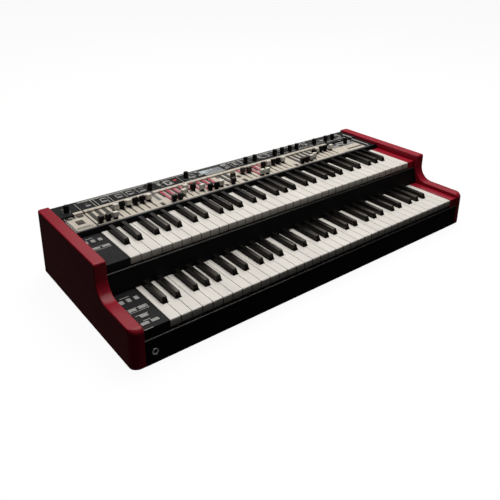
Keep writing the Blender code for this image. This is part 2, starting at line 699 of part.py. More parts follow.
def sharps_mesh(centres, front, top):
    """Sharps joined by a cross bar under the naturals' tails."""
    def build(shape):
        for centre in centres:
            sharp_body(shape, centre, front, top, True)
    sharps = mesh_from(build)
    back = front + PIVOT_DEPTH - SHARP_LEG_BACK - SHARP_BAR_INSET
    low = top - NATURAL_HEIGHT - SHARP_LEG_DROP + SEAT_GAP
    bar = boxes([((KEYS_LEFT + centres[0], back - SHARP_LEG_LENGTH + 2 * SHARP_BAR_INSET, low),
                  (KEYS_LEFT + centres[-1], back, low + SHARP_BAR_HEIGHT))])
    return joined(sharps, bar)


def keys(manual, front, top, singles, ivory, ebony):
    """The keys of one manual: its first naturals and sharps single, the others in two groups."""
    hinge = (0.0, front + PIVOT_DEPTH, top + FULCRUM_TOP)
    names = ("c", "d", "e", "f", "g", "a", "b")
    centres = sharp_centres()
    for number in range(singles):
        mesh = naturals_mesh([number], front, top, False)
        place(f"{manual}_key_{names[number]}", mesh, ivory, origin=hinge)
        centre = centres[number][1]
        mesh = mesh_from(lambda shape: sharp_body(shape, centre, front, top, False))
        place(f"{manual}_key_{names[number]}_sharp", mesh, ebony, origin=hinge)
    naturals = naturals_mesh(range(singles, NATURALS), front, top, True)
    place(f"{manual}_naturals", naturals, ivory, origin=hinge)
    grouped = [centre for before, centre in centres if before >= singles]
    place(f"{manual}_sharps", sharps_mesh(grouped, front, top), ebony, origin=hinge)


def keybed(manual, front, top, near, leg_foot, material):
    """Folded bed under the keys, with the hinge rail that they rock on."""
    sheet = top + BED_TOP
    under = sheet - BED_SHEET
    fulcrum = top + FULCRUM_TOP
    pivot = front + PIVOT_DEPTH
    rear = front + BED_DEPTH
    outline = [(near, under), (near, sheet), (pivot - FULCRUM_WIDTH / 2, sheet),
               (pivot - FULCRUM_WIDTH / 2, fulcrum), (pivot + FULCRUM_WIDTH / 2, fulcrum),
               (pivot + FULCRUM_WIDTH / 2, sheet), (rear, sheet)]
    if leg_foot is None:
        outline.append((rear, under))
    else:
        leg = near + BED_LEG_INSET
        outline += [(rear, leg_foot), (rear - BED_SHEET, leg_foot), (rear - BED_SHEET, under),
                    (leg + BED_SHEET, under), (leg + BED_SHEET, leg_foot), (leg, leg_foot), (leg, under)]
    bed = prism(outline, 0, CASE_LEFT + SEAT_GAP, CASE_RIGHT - SEAT_GAP)
    if leg_foot is not None:
        bed = cut(bed, pan_side_room(near, rear + BED_SHEET))
    place(f"{manual}_keybed", bed, material)


# Control panel

def all_lanes():
    """Every drawbar: set name, number in the set, X of its lane, and how far it is pulled out."""
    return [(name, number, lane(name, number), pull * MM)
            for name, pulls in SET_PULLS.items() for number, pull in enumerate(pulls)]


def panel_openings():
    """What is cut from the panel: slots, shaft mouths, knob and button holes, display window."""
    high = CONTROL_TOP + CONTROL_SHEET
    low = DECK_UNDER - DECK_SHEET
    tools = []
    slot_front = BAR_HOME - DRAWBAR_TRAVEL - BAR_STEM_LENGTH / 2 - SIDE_GAP
    slot_back = BAR_HOME + BAR_STEM_LENGTH / 2 + SIDE_GAP
    for _, _, x, _ in all_lanes():
        half = BAR_STEM_WIDTH / 2 + SLOT_CLEARANCE
        tools.append(((x - half, slot_front, low), (x + half, slot_back, high)))
        half = BAR_SHAFT_WIDTH / 2 + SLOT_CLEARANCE
        tools.append(((x - half, STEP_FRONT - STEP_SHEET, DECK_TOP),
                      (x + half, STEP_FRONT + 2 * STEP_SHEET, CONTROL_UNDER)))
    for x, y, half_x, half_y in widened(control_button_places() + deck_button_places()):
        tools.append(((x - half_x, y - half_y, low), (x + half_x, y + half_y, high)))
    left, near, right, far = display_edges()
    tools.append(((left, near, CONTROL_UNDER - CONTROL_SHEET), (right, far, high)))

    def build(shape):
        for corner_low, corner_high in tools:
            add_box(shape, corner_low, corner_high)
        for spots in (REAR_KNOBS, FRONT_KNOBS):
            for drawbar_set, number, y in spots.values():
                add_cylinder(shape, (lane(drawbar_set, number), from_step(y)), 2,
                             KNOB_STEM_RADIUS + KNOB_HOLE_CLEARANCE, low, high)
    return mesh_from(build)


def control_panel(material):
    """Nose, drawbar deck, step and control deck in one sheet, with bosses for the board."""
    outline = [(NOSE_FRONT, NOSE_BOTTOM), (NOSE_FRONT + NOSE_SLANT, NOSE_TOP),
               (NOSE_FRONT + NOSE_DEPTH, NOSE_TOP), (NOSE_FRONT + NOSE_DEPTH, DECK_TOP),
               (STEP_FRONT, DECK_TOP), (STEP_FRONT, CONTROL_TOP), (CONTROL_BACK, CONTROL_TOP),
               (CONTROL_BACK, CONTROL_UNDER), (STEP_FRONT + STEP_SHEET, CONTROL_UNDER),
               (STEP_FRONT + STEP_SHEET, DECK_UNDER), (NOSE_FRONT + NOSE_SLANT, DECK_UNDER),
               (NOSE_FRONT + NOSE_SLANT, NOSE_BOTTOM)]
    sheet = prism(outline, 0, CASE_LEFT + SEAT_GAP, CASE_RIGHT - SEAT_GAP)
    bosses = []
    for x in (CASE_LEFT + BOSS, CASE_RIGHT - BOSS):
        for y in (STEP_FRONT + BOSS, PANEL_BOARD_BACK - BOSS):
            bosses.append(((x - BOSS / 2, y - BOSS / 2, PANEL_BOARD_TOP + SEAT_GAP),
                           (x + BOSS / 2, y + BOSS / 2, CONTROL_UNDER + CONTROL_SHEET / 2)))
    sheet = joined(sheet, boxes(bosses))
    place("control_panel", cut(sheet, panel_openings()), material)


def control_button_places():
    return [(lane(*spot), STEP_FRONT + CONTROL_BUTTON_ROW, PANEL_BUTTON[0] / 2, PANEL_BUTTON[1] / 2)
            for spot in CONTROL_BUTTONS]


def deck_button_places():
    return [(lane(drawbar_set, number), from_step(-y), PANEL_BUTTON[0] / 2, PANEL_BUTTON[1] / 2)
            for drawbar_set, number, y in DECK_BUTTONS]


def panel_buttons(material):
    """All panel buttons on one carrier: a rear bar, fingers between the bars' shafts, low arms."""
    top = CONTROL_UNDER - SEAT_GAP
    low = top - FINGER_THICKNESS
    arm_low = ARM_TOP - ARM_THICKNESS
    half = FINGER_WIDTH / 2
    inner = half - LINK_LAP
    front, back = REAR_BAR_FRONT, REAR_BAR_BACK
    fingers, posts, arms, stalks, caps = [], [], [], [], []
    for x, y, hx, hy in control_button_places():
        fingers.append(((x - half, y - hy, low), (x + half, front + SIDE_GAP, top)))
        stalks.append(((x - inner, y - hy + LINK_LAP, top - LINK_LAP),
                       (x + inner, y + hy - LINK_LAP, CONTROL_TOP)))
        caps.append(((x - hx, y - hy, top + SEAT_GAP), (x + hx, y + hy, CONTROL_TOP + PANEL_BUTTON_PROUD)))
    for x, y, hx, hy in deck_button_places():
        posts.append(((x - half, front + SIDE_GAP, arm_low), (x + half, back - SIDE_GAP, top - LINK_LAP)))
        arms.append(((x - inner, y - hy + LINK_LAP, arm_low + LINK_LAP / 2),
                     (x + inner, front + 2 * SIDE_GAP, ARM_TOP)))
        caps.append(((x - hx, y - hy, ARM_TOP - ARM_THICKNESS / 2),
                     (x + hx, y + hy, DECK_TOP + PANEL_BUTTON_PROUD)))
    spots = [x for x, _, _, _ in control_button_places() + deck_button_places()]
    mesh = boxes([((min(spots) - half - LINK_LAP, front, low), (max(spots) + half + LINK_LAP, back, top))])
    for group in (fingers, posts, arms, stalks, caps):
        mesh = joined(mesh, union_of(group))
    place("panel_buttons", mesh, material, origin=(0.0, front, low))


def union_of(corners):
    """Boxes joined one after another, so that those that overlap become one body."""
    separate, rest = [], []
    for corner in corners:
        clear = all(any(corner[0][i] > other[1][i] or corner[1][i] < other[0][i] for i in range(3))
                    for other in separate)
        (separate if clear else rest).append(corner)
    mesh = boxes(separate)
    if rest:
        mesh = joined(mesh, union_of(rest))
    return mesh


# Drawbars

def bar_parts(x, pull, linked):
    """Knob, shaft and stem of one drawbar at its lane, pulled out by a distance."""
    y = BAR_HOME - pull
    knob_low = SHAFT_UNDER
    half_x, half_y = BAR_KNOB[0] / 2, BAR_KNOB[1] / 2

    def build(shape):
        add_box(shape, (x - half_x, y - half_y, knob_low), (x + half_x, y + half_y, knob_low + BAR_KNOB[2]))
        for vertex in shape.verts:
            if vertex.co.z > knob_low + BAR_KNOB[2] / 2:
                vertex.co.x += BAR_KNOB_TAPER if vertex.co.x < x else -BAR_KNOB_TAPER
                vertex.co.y += BAR_KNOB_TAPER if vertex.co.y < y else -BAR_KNOB_TAPER
    knob = mesh_from(build)
    shaft = ((x - BAR_SHAFT_WIDTH / 2, y, SHAFT_UNDER),
             (x + BAR_SHAFT_WIDTH / 2, SHAFT_REAR - pull, SHAFT_TOP))
    stem_low = DECK_UNDER - BAR_STEM_REACH
    if linked == "rear":
        stem_low = DECK_UNDER + SEAT_GAP
    if linked == "front":
        stem_low = FRONT_LINK_TOP - FRONT_LINK_THICKNESS / 2
    stem = ((x - BAR_STEM_WIDTH / 2, y - BAR_STEM_LENGTH / 2, stem_low),
            (x + BAR_STEM_WIDTH / 2, y + BAR_STEM_LENGTH / 2, SHAFT_UNDER + LINK_LAP))
    return knob, shaft, stem


def drawbar_mesh(lanes, linked):
    knobs, shafts, stems = [], [], []
    for x, pull in lanes:
        knob, shaft, stem = bar_parts(x, pull, linked)
        knobs.append(knob)
        shafts.append(shaft)
        stems.append(stem)
    return joined(joined(together(knobs), boxes(shafts)), boxes(stems))


def rear_link(lanes):
    """Bar that joins the pulled-out drawbars below the rear ends of their shafts."""
    near = STEP_FRONT + STEP_SHEET + SIDE_GAP
    far = near + REAR_LINK_WIDTH
    half = BAR_SHAFT_WIDTH / 2
    bar = ((lanes[0][0] - half, near, REAR_LINK_UNDER),
           (lanes[-1][0] + half, far, REAR_LINK_UNDER + REAR_LINK_THICKNESS))
    posts = [((x - half + LINK_LAP, near + LINK_LAP, REAR_LINK_UNDER + LINK_LAP),
              (x + half - LINK_LAP, far - LINK_LAP, SHAFT_UNDER + LINK_LAP)) for x, _ in lanes]
    return joined(boxes([bar]), boxes(posts))


def front_link(lanes):
    """Bar that joins the pushed-in drawbars under the drawbar deck."""
    half = BAR_STEM_LENGTH / 2
    low = FRONT_LINK_TOP - FRONT_LINK_THICKNESS
    bar = ((lanes[0][0] - BAR_STEM_LENGTH, BAR_HOME - half - LINK_LAP, low),
           (lanes[-1][0] + BAR_STEM_LENGTH, BAR_HOME + half + LINK_LAP, FRONT_LINK_TOP))
    toes = [((x - half, BAR_HOME - half - pull - LINK_LAP, low + LINK_LAP),
             (x + half, BAR_HOME, FRONT_LINK_TOP - LINK_LAP)) for x, pull in lanes if pull > 0]
    return joined(boxes([bar]), boxes(toes))


def drawbars(material):
    single = [(number, x, pull) for name, number, x, pull in all_lanes() if name == "first"]
    for number, x, pull in single:
        place(f"drawbar_{number + 1}", drawbar_mesh([(x, pull)], None), material,
              origin=(x, BAR_HOME - pull, DECK_TOP))
    others = [(x, pull) for name, _, x, pull in all_lanes() if name != "first"]
    others.sort()
    out = [lane for lane in others if lane[1] >= PULLED_OUT * MM - SEAT_GAP]
    inside = [lane for lane in others if lane not in out]
    place("drawbars_pulled_out", joined(drawbar_mesh(out, "rear"), rear_link(out)), material,
          origin=(0.0, BAR_HOME, DECK_TOP))
    place("drawbars_pushed_in", joined(drawbar_mesh(inside, "front"), front_link(inside)), material,
          origin=(0.0, BAR_HOME, DECK_TOP))


def rotary_knobs(material):
    seats = ((REAR_KNOBS, CONTROL_TOP, CONTROL_SHEET), (FRONT_KNOBS, DECK_TOP, DECK_SHEET))
    for spots, seat, sheet in seats:
        for name, (drawbar_set, number, row) in spots.items():
            x, y = lane(drawbar_set, number), from_step(row)
            low = seat + KNOB_LIFT
            high = low + KNOB_HEIGHT
            stem = mesh_from(lambda shape: add_cylinder(shape, (x, y), 2, KNOB_STEM_RADIUS,
                                                        seat - sheet + SEAT_GAP, low + KNOB_EDGE))

            def build(shape):
                add_cylinder(shape, (x, y), 2, KNOB_RADIUS, low, high)
                rim = [edge for edge in shape.edges if all(v.co.z > high - KNOB_EDGE for v in edge.verts)]
                bmesh.ops.bevel(shape, geom=rim, offset=KNOB_EDGE, segments=1, affect="EDGES")
            place(name, joined(mesh_from(build), stem), material, origin=(x, y, seat), smooth_angle=35)


def display_edges():
    """Left, near, right and far edge of the display's opening."""
    left = lane(*DISPLAY_LANES)
    near = STEP_FRONT + DISPLAY_ROW
    return left, near, left + DISPLAY_SIZE[0], near + DISPLAY_SIZE[1]


def display_window(material):
    left, near, right, far = display_edges()
    mesh = boxes([((left + SEAT_GAP, near + SEAT_GAP, CONTROL_TOP - DISPLAY_THICKNESS),
                   (right - SEAT_GAP, far - SEAT_GAP, CONTROL_TOP))])
    place("display_window", mesh, material)


# Inside and rear

def main_board(material):
    """Circuit board on four legs, with its larger parts."""
    low = PAN_TOP + SEAT_GAP
    level = low + BOARD_LEG
    left = KEYS_LEFT + MAIN_BOARD_X
    near = LOWER_FRONT + BED_DEPTH + INNER_FRONT
    right, far = left + MAIN_BOARD_SIZE[0], near + MAIN_BOARD_SIZE[1]
    board = boxes([((left, near, level), (right, far, level + BOARD_SHEET))])
    half = BOARD_LEG / 2
    extras = [((x - half, y - half, low), (x + half, y + half, level + BOARD_SHEET / 2))
              for x in (left + BOARD_LEG, right - BOARD_LEG) for y in (near + BOARD_LEG, far - BOARD_LEG)]
    for x, y, size, height in CHIPS:
        half = size * MM / 2
        middle = (left + x * MM, near + y * MM)
        extras.append(((middle[0] - half, middle[1] - half, level + BOARD_SHEET / 2),
                       (middle[0] + half, middle[1] + half, level + BOARD_SHEET + height * MM)))
    place("main_board", joined(board, boxes(extras)), material)


def panel_board(material):
    side = BOSS / 2 + SEAT_GAP
    mesh = boxes([((CASE_LEFT + side, PANEL_BOARD_FRONT, PANEL_BOARD_TOP - BOARD_SHEET),
                   (CASE_RIGHT - side, PANEL_BOARD_BACK, PANEL_BOARD_TOP))])
    place("panel_board", mesh, material)


def power_supply(material):
    corner = (KEYS_LEFT + POWER_SUPPLY_X, LOWER_FRONT + BED_DEPTH + INNER_FRONT, PAN_TOP + SEAT_GAP)
    opposite = tuple(start + size for start, size in zip(corner, POWER_SUPPLY_SIZE))
    place("power_supply", boxes([(corner, opposite)]), material)


def headphone_jack(material):
    """Socket with a bright ring in front of the rail and its body behind it."""
    x, z = KEYS_LEFT + HEADPHONE_X, BASE + HEADPHONE_Z
    rail_front = FRONT + RAIL_SETBACK
    face = rail_front - SEAT_GAP - HEADPHONE_RING_THICKNESS
    behind = rail_front + RAIL_SHEET + SEAT_GAP
    half = JACK_BODY / 2

    def turned(radius, near, far):
        return mesh_from(lambda shape: add_cylinder(shape, (x, z), 1, radius, near, far))
    mesh = boxes([((x - half, behind, z - half), (x + half, face + HEADPHONE_LENGTH, z + half))])
    mesh = joined(mesh, turned(JACK_BARREL, face + SEAT_GAP, behind + SIDE_GAP))
    mesh = joined(mesh, turned(HEADPHONE_RING, face, rail_front - SEAT_GAP))
    mesh = cut(mesh, turned(JACK_BORE, face - SIDE_GAP, face + JACK_BORE_DEPTH))
    place("headphone_jack", mesh, material, smooth_angle=35)


def rear_jack_board(material):
    """Row of sockets on one board; their barrels pass through the back panel."""
    face = CONTROL_BACK + BARREL_PROUD
    inside = BACK_INSIDE - SEAT_GAP
    z = BASE + REAR_SOCKET_Z
    half = JACK_BODY / 2
    rear = inside - JACK_LENGTH
    low = z - DIN_RADIUS
    bodies, barrels, bores = [], [], []
    for x in (from_keys(x) for x in REAR_JACKS_X):
        bodies.append(((x - half, rear, low), (x + half, inside, z + half)))
        barrels.append((x, JACK_BARREL))
        bores.append((x, JACK_BORE, JACK_BORE_DEPTH))
    for x in (from_keys(x) for x in DIN_SOCKETS_X):
        bodies.append(((x - DIN_RADIUS, rear, low), (x + DIN_RADIUS, inside, z + DIN_RADIUS)))
        barrels.append((x, DIN_RADIUS - SEAT_GAP))
        bores.append((x, DIN_RECESS, DIN_DEPTH))
    level = low + BOARD_SHEET / 2
    board = boxes([((from_keys(min(DIN_SOCKETS_X)) - 2 * DIN_RADIUS, rear - BOARD_LEG, level - BOARD_SHEET),
                    (from_keys(max(REAR_JACKS_X)) + 2 * DIN_RADIUS, inside - SIDE_GAP, level))])

    def add_barrels(shape):
        for x, radius in barrels:
            add_cylinder(shape, (x, z), 1, radius, inside - SIDE_GAP, face)

    def add_bores(shape):
        for x, radius, depth in bores:
            add_cylinder(shape, (x, z), 1, radius, face - depth, face + SIDE_GAP)
    mesh = joined(joined(boxes(bodies), board), mesh_from(add_barrels))
    place("rear_jack_board", cut(mesh, mesh_from(add_bores)), material, smooth_angle=35)


def back_panel(material):
    """Rear sheet with a flange on the pan and holes for sockets and mains inlet."""
    top = CONTROL_UNDER - SEAT_GAP
    flange = PAN_TOP + SEAT_GAP
    edge = BACK_INSIDE - BACK_FLANGE
    outline = [(CONTROL_BACK, BASE), (CONTROL_BACK, top), (BACK_INSIDE, top),
               (BACK_INSIDE, flange + BACK_SHEET), (edge, flange + BACK_SHEET), (edge, flange),
               (BACK_INSIDE, flange), (BACK_INSIDE, BASE)]
    sheet = prism(outline, 0, CASE_LEFT + SEAT_GAP, CASE_RIGHT - SEAT_GAP)
    z = BASE + REAR_SOCKET_Z
    near, far = BACK_INSIDE - BACK_SHEET, CONTROL_BACK + BACK_SHEET

    def build(shape):
        for x in REAR_JACKS_X:
            add_cylinder(shape, (from_keys(x), z), 1, JACK_BARREL + SEAT_GAP, near, far)
        for x in DIN_SOCKETS_X:
            add_cylinder(shape, (from_keys(x), z), 1, DIN_RADIUS, near, far)
        half_x, half_z = INLET_SIZE[0] / 2 + SEAT_GAP, INLET_SIZE[1] / 2 + SEAT_GAP
        x = KEYS_LEFT + INLET_X
        add_box(shape, (x - half_x, near, z - half_z), (x + half_x, far, z + half_z))
    sheet = cut(sheet, pan_side_room(BACK_INSIDE - 2 * BACK_FLANGE, BACK_INSIDE))
    place("back_panel", cut(sheet, mesh_from(build)), material)


def mains_inlet(material):
    """Flanged module: a mains socket with three pins, and the well of the power switch."""
    x, z = KEYS_LEFT + INLET_X, BASE + REAR_SOCKET_Z
    outside = CONTROL_BACK + SEAT_GAP
    face = outside + INLET_FLANGE_SHEET
    half_x, half_z = INLET_SIZE[0] / 2, INLET_SIZE[1] / 2
    body = boxes([((x - half_x, face - INLET_SIZE[2], z - half_z),
                   (x + half_x, outside + SEAT_GAP, z + half_z))])
    flange = boxes([((x - half_x - INLET_FLANGE, outside, z - half_z - INLET_FLANGE),
                     (x + half_x + INLET_FLANGE, face, z + half_z + INLET_FLANGE))])
    socket_x = x + INLET_SOCKET_SHIFT
    rocker_x = x + ROCKER_SHIFT
    floor = face - INLET_SOCKET[2]
    well_x = ROCKER[0] / 2 + ROCKER_CLEARANCE
    well_z = ROCKER[1] / 2 + ROCKER_END_CLEARANCE
    wells = boxes([
        ((socket_x - INLET_SOCKET[0] / 2, floor, z - INLET_SOCKET[1] / 2),
         (socket_x + INLET_SOCKET[0] / 2, face + SIDE_GAP, z + INLET_SOCKET[1] / 2)),
        ((rocker_x - well_x, face - ROCKER_WELL, z - well_z),
         (rocker_x + well_x, face + SIDE_GAP, z + well_z))])
    pins = boxes([((socket_x + shift - PIN[0] / 2, floor - SIDE_GAP, z + raise_ - PIN[1] / 2),
                   (socket_x + shift + PIN[0] / 2, floor + PIN[2], z + raise_ + PIN[1] / 2))
                  for shift, raise_ in ((-PIN_SPREAD, 0.0), (0.0, PIN_RAISE), (PIN_SPREAD, 0.0))])
    place("mains_inlet", joined(cut(joined(body, flange), wells), pins), material)


def power_switch(material):
    """Rocker with two faces, tilted to its off side, on a pivot inside the well."""
    x = KEYS_LEFT + INLET_X + ROCKER_SHIFT
    z = BASE + REAR_SOCKET_Z
    face = CONTROL_BACK + SEAT_GAP + INLET_FLANGE_SHEET
    half = ROCKER[1] / 2
    pivot = face - ROCKER_DEPTH / 2
    tilt = math.radians(-ROCKER_TILT)
    rim = ROCKER_DEPTH / 2 - ROCKER_SET_BACK
    shape_points = [(rim, -half), (rim - ROCKER_HOLLOW, 0.0), (rim, half),
                    (-ROCKER_DEPTH / 2, half / 2), (-ROCKER_DEPTH / 2, -half / 2)]
    outline = [(pivot + u * math.cos(tilt) - v * math.sin(tilt), z + u * math.sin(tilt) + v * math.cos(tilt))
               for u, v in shape_points]
    mesh = prism(outline, 0, x - ROCKER[0] / 2, x + ROCKER[0] / 2)
    place("power_switch", mesh, material, origin=(x, pivot, z))


def main():
    for item in list(bpy.data.objects):
        bpy.data.objects.remove(item)

    red = finish("red_lacquer", (0.30, 0.012, 0.022), 0.35)
    black = finish("black_paint", (0.012, 0.012, 0.013), 0.5)
    charcoal = finish("charcoal_plastic", (0.045, 0.045, 0.047), 0.5)
    ivory = finish("ivory_plastic", (0.74, 0.71, 0.66), 0.3)
    ebony = finish("ebony_plastic", (0.01, 0.01, 0.01), 0.2)
    steel = finish("zinc_steel", (0.55, 0.55, 0.56), 0.45, 1.0)
    chrome = finish("chrome", (0.8, 0.8, 0.82), 0.15, 1.0)
    rubber = finish("rubber", (0.02, 0.02, 0.02), 0.8)
    board = finish("circuit_board", (0.02, 0.12, 0.05), 0.5)
    glass = finish("display_glass", (0.45, 0.52, 0.56), 0.1)
    grey = finish("grey_plastic", (0.42, 0.42, 0.43), 0.4)

    base_pan(steel)
    feet(rubber)
    cheek("left_cheek", CASE_LEFT, -1, red)
    cheek("right_cheek", CASE_RIGHT, 1, red)
    front_rail(black)
    riser_panel(black)

    keybed("lower", LOWER_FRONT, LOWER_TOP, LOWER_FRONT, PAN_TOP + SEAT_GAP, steel)
    upper_near = riser_back_at(UPPER_TOP + BED_TOP) + SEAT_GAP
    keybed("upper", UPPER_FRONT, UPPER_TOP, upper_near, None, steel)

    lower_places = button_places(LOWER_SMALL_BUTTONS, LOWER_WIDE_BUTTONS, LOWER_FRONT)
    upper_places = button_places(UPPER_SMALL_BUTTONS, UPPER_WIDE_BUTTONS, UPPER_FRONT)
    left_span = (CASE_LEFT + SEAT_GAP, KEYS_LEFT - SIDE_GAP / 2)
    right_span = (KEYS_RIGHT + SIDE_GAP / 2, CASE_RIGHT - SEAT_GAP)
    block("lower_left_block", *left_span, LOWER_FRONT, LOWER_TOP, charcoal, widened(lower_places))
    block("upper_left_block", *left_span, UPPER_FRONT, UPPER_TOP, charcoal, widened(upper_places))
    block("lower_right_block", *right_span, LOWER_FRONT, LOWER_TOP, red)
    block("upper_right_block", *right_span, UPPER_FRONT, UPPER_TOP, red)
    block_buttons("lower_block_buttons", lower_places, LOWER_TOP, grey)
    block_buttons("upper_block_buttons", upper_places, UPPER_TOP, grey)

    keys("lower", LOWER_FRONT, LOWER_TOP, SINGLE_KEYS, ivory, ebony)
    keys("upper", UPPER_FRONT, UPPER_TOP, 0, ivory, ebony)

    control_panel(charcoal)
    panel_buttons(grey)
    drawbars(black)
    rotary_knobs(black)
    display_window(glass)

    main_board(board)
    panel_board(board)
    power_supply(steel)
    headphone_jack(chrome)
    rear_jack_board(black)
    back_panel(black)
    mains_inlet(black)
    power_switch(black)


main()
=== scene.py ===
import math

import bmesh
import bpy
import numpy as np
from mathutils import Matrix, Vector


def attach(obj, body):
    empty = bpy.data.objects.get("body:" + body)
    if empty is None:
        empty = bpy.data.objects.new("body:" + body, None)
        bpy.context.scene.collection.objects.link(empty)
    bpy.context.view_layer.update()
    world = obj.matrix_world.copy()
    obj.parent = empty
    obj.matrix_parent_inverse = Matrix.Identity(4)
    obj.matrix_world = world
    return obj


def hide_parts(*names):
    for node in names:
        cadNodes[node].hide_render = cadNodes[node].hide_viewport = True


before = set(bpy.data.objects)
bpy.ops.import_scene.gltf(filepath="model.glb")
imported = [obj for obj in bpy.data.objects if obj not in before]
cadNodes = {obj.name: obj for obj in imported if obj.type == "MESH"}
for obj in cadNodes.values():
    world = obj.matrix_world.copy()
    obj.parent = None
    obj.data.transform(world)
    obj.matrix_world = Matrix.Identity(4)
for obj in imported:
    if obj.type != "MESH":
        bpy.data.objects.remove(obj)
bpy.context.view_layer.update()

print("frame loaded:", len(cadNodes), "nodes")

# Plan places in millimetres: x from the keys' left edge, y from the cheeks' front
planStart = {"x": -409, "y": -215}


def planX(value):
    return (np.asarray(value, float) + planStart["x"]) / 1000


def planY(value):
    return (np.asarray(value, float) + planStart["y"]) / 1000


# View: the photograph's angle on a 500 by 500 picture; degrees, and millimetres for lens and sensor
viewSetting = {"place": (-0.85093, -0.99476, 0.72960), "azimuth": -37.893, "elevation": 21.146, "roll": 0.396,
               "lens": 42.786, "sensor": 36, "shift": (0.00939, -0.1750), "reach": 60}


def makeView(setting):
    turn, lift, roll = (math.radians(setting[key]) for key in ("azimuth", "elevation", "roll"))
    back = Vector((math.sin(turn) * math.cos(lift), -math.cos(turn) * math.cos(lift), math.sin(lift)))
    across = Vector((0, 0, 1)).cross(back).normalized()
    up = back.cross(across)
    axisX = math.cos(roll) * across + math.sin(roll) * up
    axisY = -math.sin(roll) * across + math.cos(roll) * up
    data = bpy.data.cameras.new("view")
    data.lens, data.sensor_width = setting["lens"], setting["sensor"]
    data.shift_x, data.shift_y = setting["shift"]
    data.clip_end = setting["reach"]
    camera = bpy.data.objects.new("view", data)
    camera.matrix_world = Matrix((axisX, axisY, back)).transposed().to_4x4()
    camera.location = setting["place"]
    bpy.context.scene.collection.objects.link(camera)
    bpy.context.scene.camera = camera


makeView(viewSetting)

# Light: a wide soft lamp overhead, a little behind the case, and a large soft screen behind on the right,
# whose reflection lies along the tops of the sharps and the cheeks. Power in watts, the rest in metres.
lampSettings = {
    "overhead": {"place": (0.35, 0.30, 2.20), "aim": (0.05, 0.02, 0.10), "size": (2.2, 1.8), "power": 55,
                 "tint": (1.0, 0.985, 0.955)},
    "screen": {"place": (1.90, 2.20, 2.35), "aim": (0.0, 0.0, 0.12), "size": (3.6, 1.9), "power": 30,
               "tint": (1.0, 0.98, 0.95)},
}
skySetting = {"colour": (1.0, 0.98, 0.97, 1.0), "strength": 0.026}


def makeLight(lamps, sky):
    for name, lamp in lamps.items():
        data = bpy.data.lights.new(name, "AREA")
        data.shape, (data.size, data.size_y) = "RECTANGLE", lamp["size"]
        data.energy, data.color = lamp["power"], lamp["tint"]
        holder = bpy.data.objects.new(name, data)
        holder.location = lamp["place"]
        way = Vector(lamp["aim"]) - Vector(lamp["place"])
        holder.rotation_euler = way.to_track_quat("-Z", "Y").to_euler()
        bpy.context.scene.collection.objects.link(holder)
    world = bpy.data.worlds.new("studio")
    world.use_nodes = True
    background = world.node_tree.nodes["Background"]
    background.inputs["Color"].default_value = sky["colour"]
    background.inputs["Strength"].default_value = sky["strength"]
    bpy.context.scene.world = world
    bpy.context.scene.view_settings.view_transform = "Standard"


makeLight(lampSettings, skySetting)
print("view and light set")


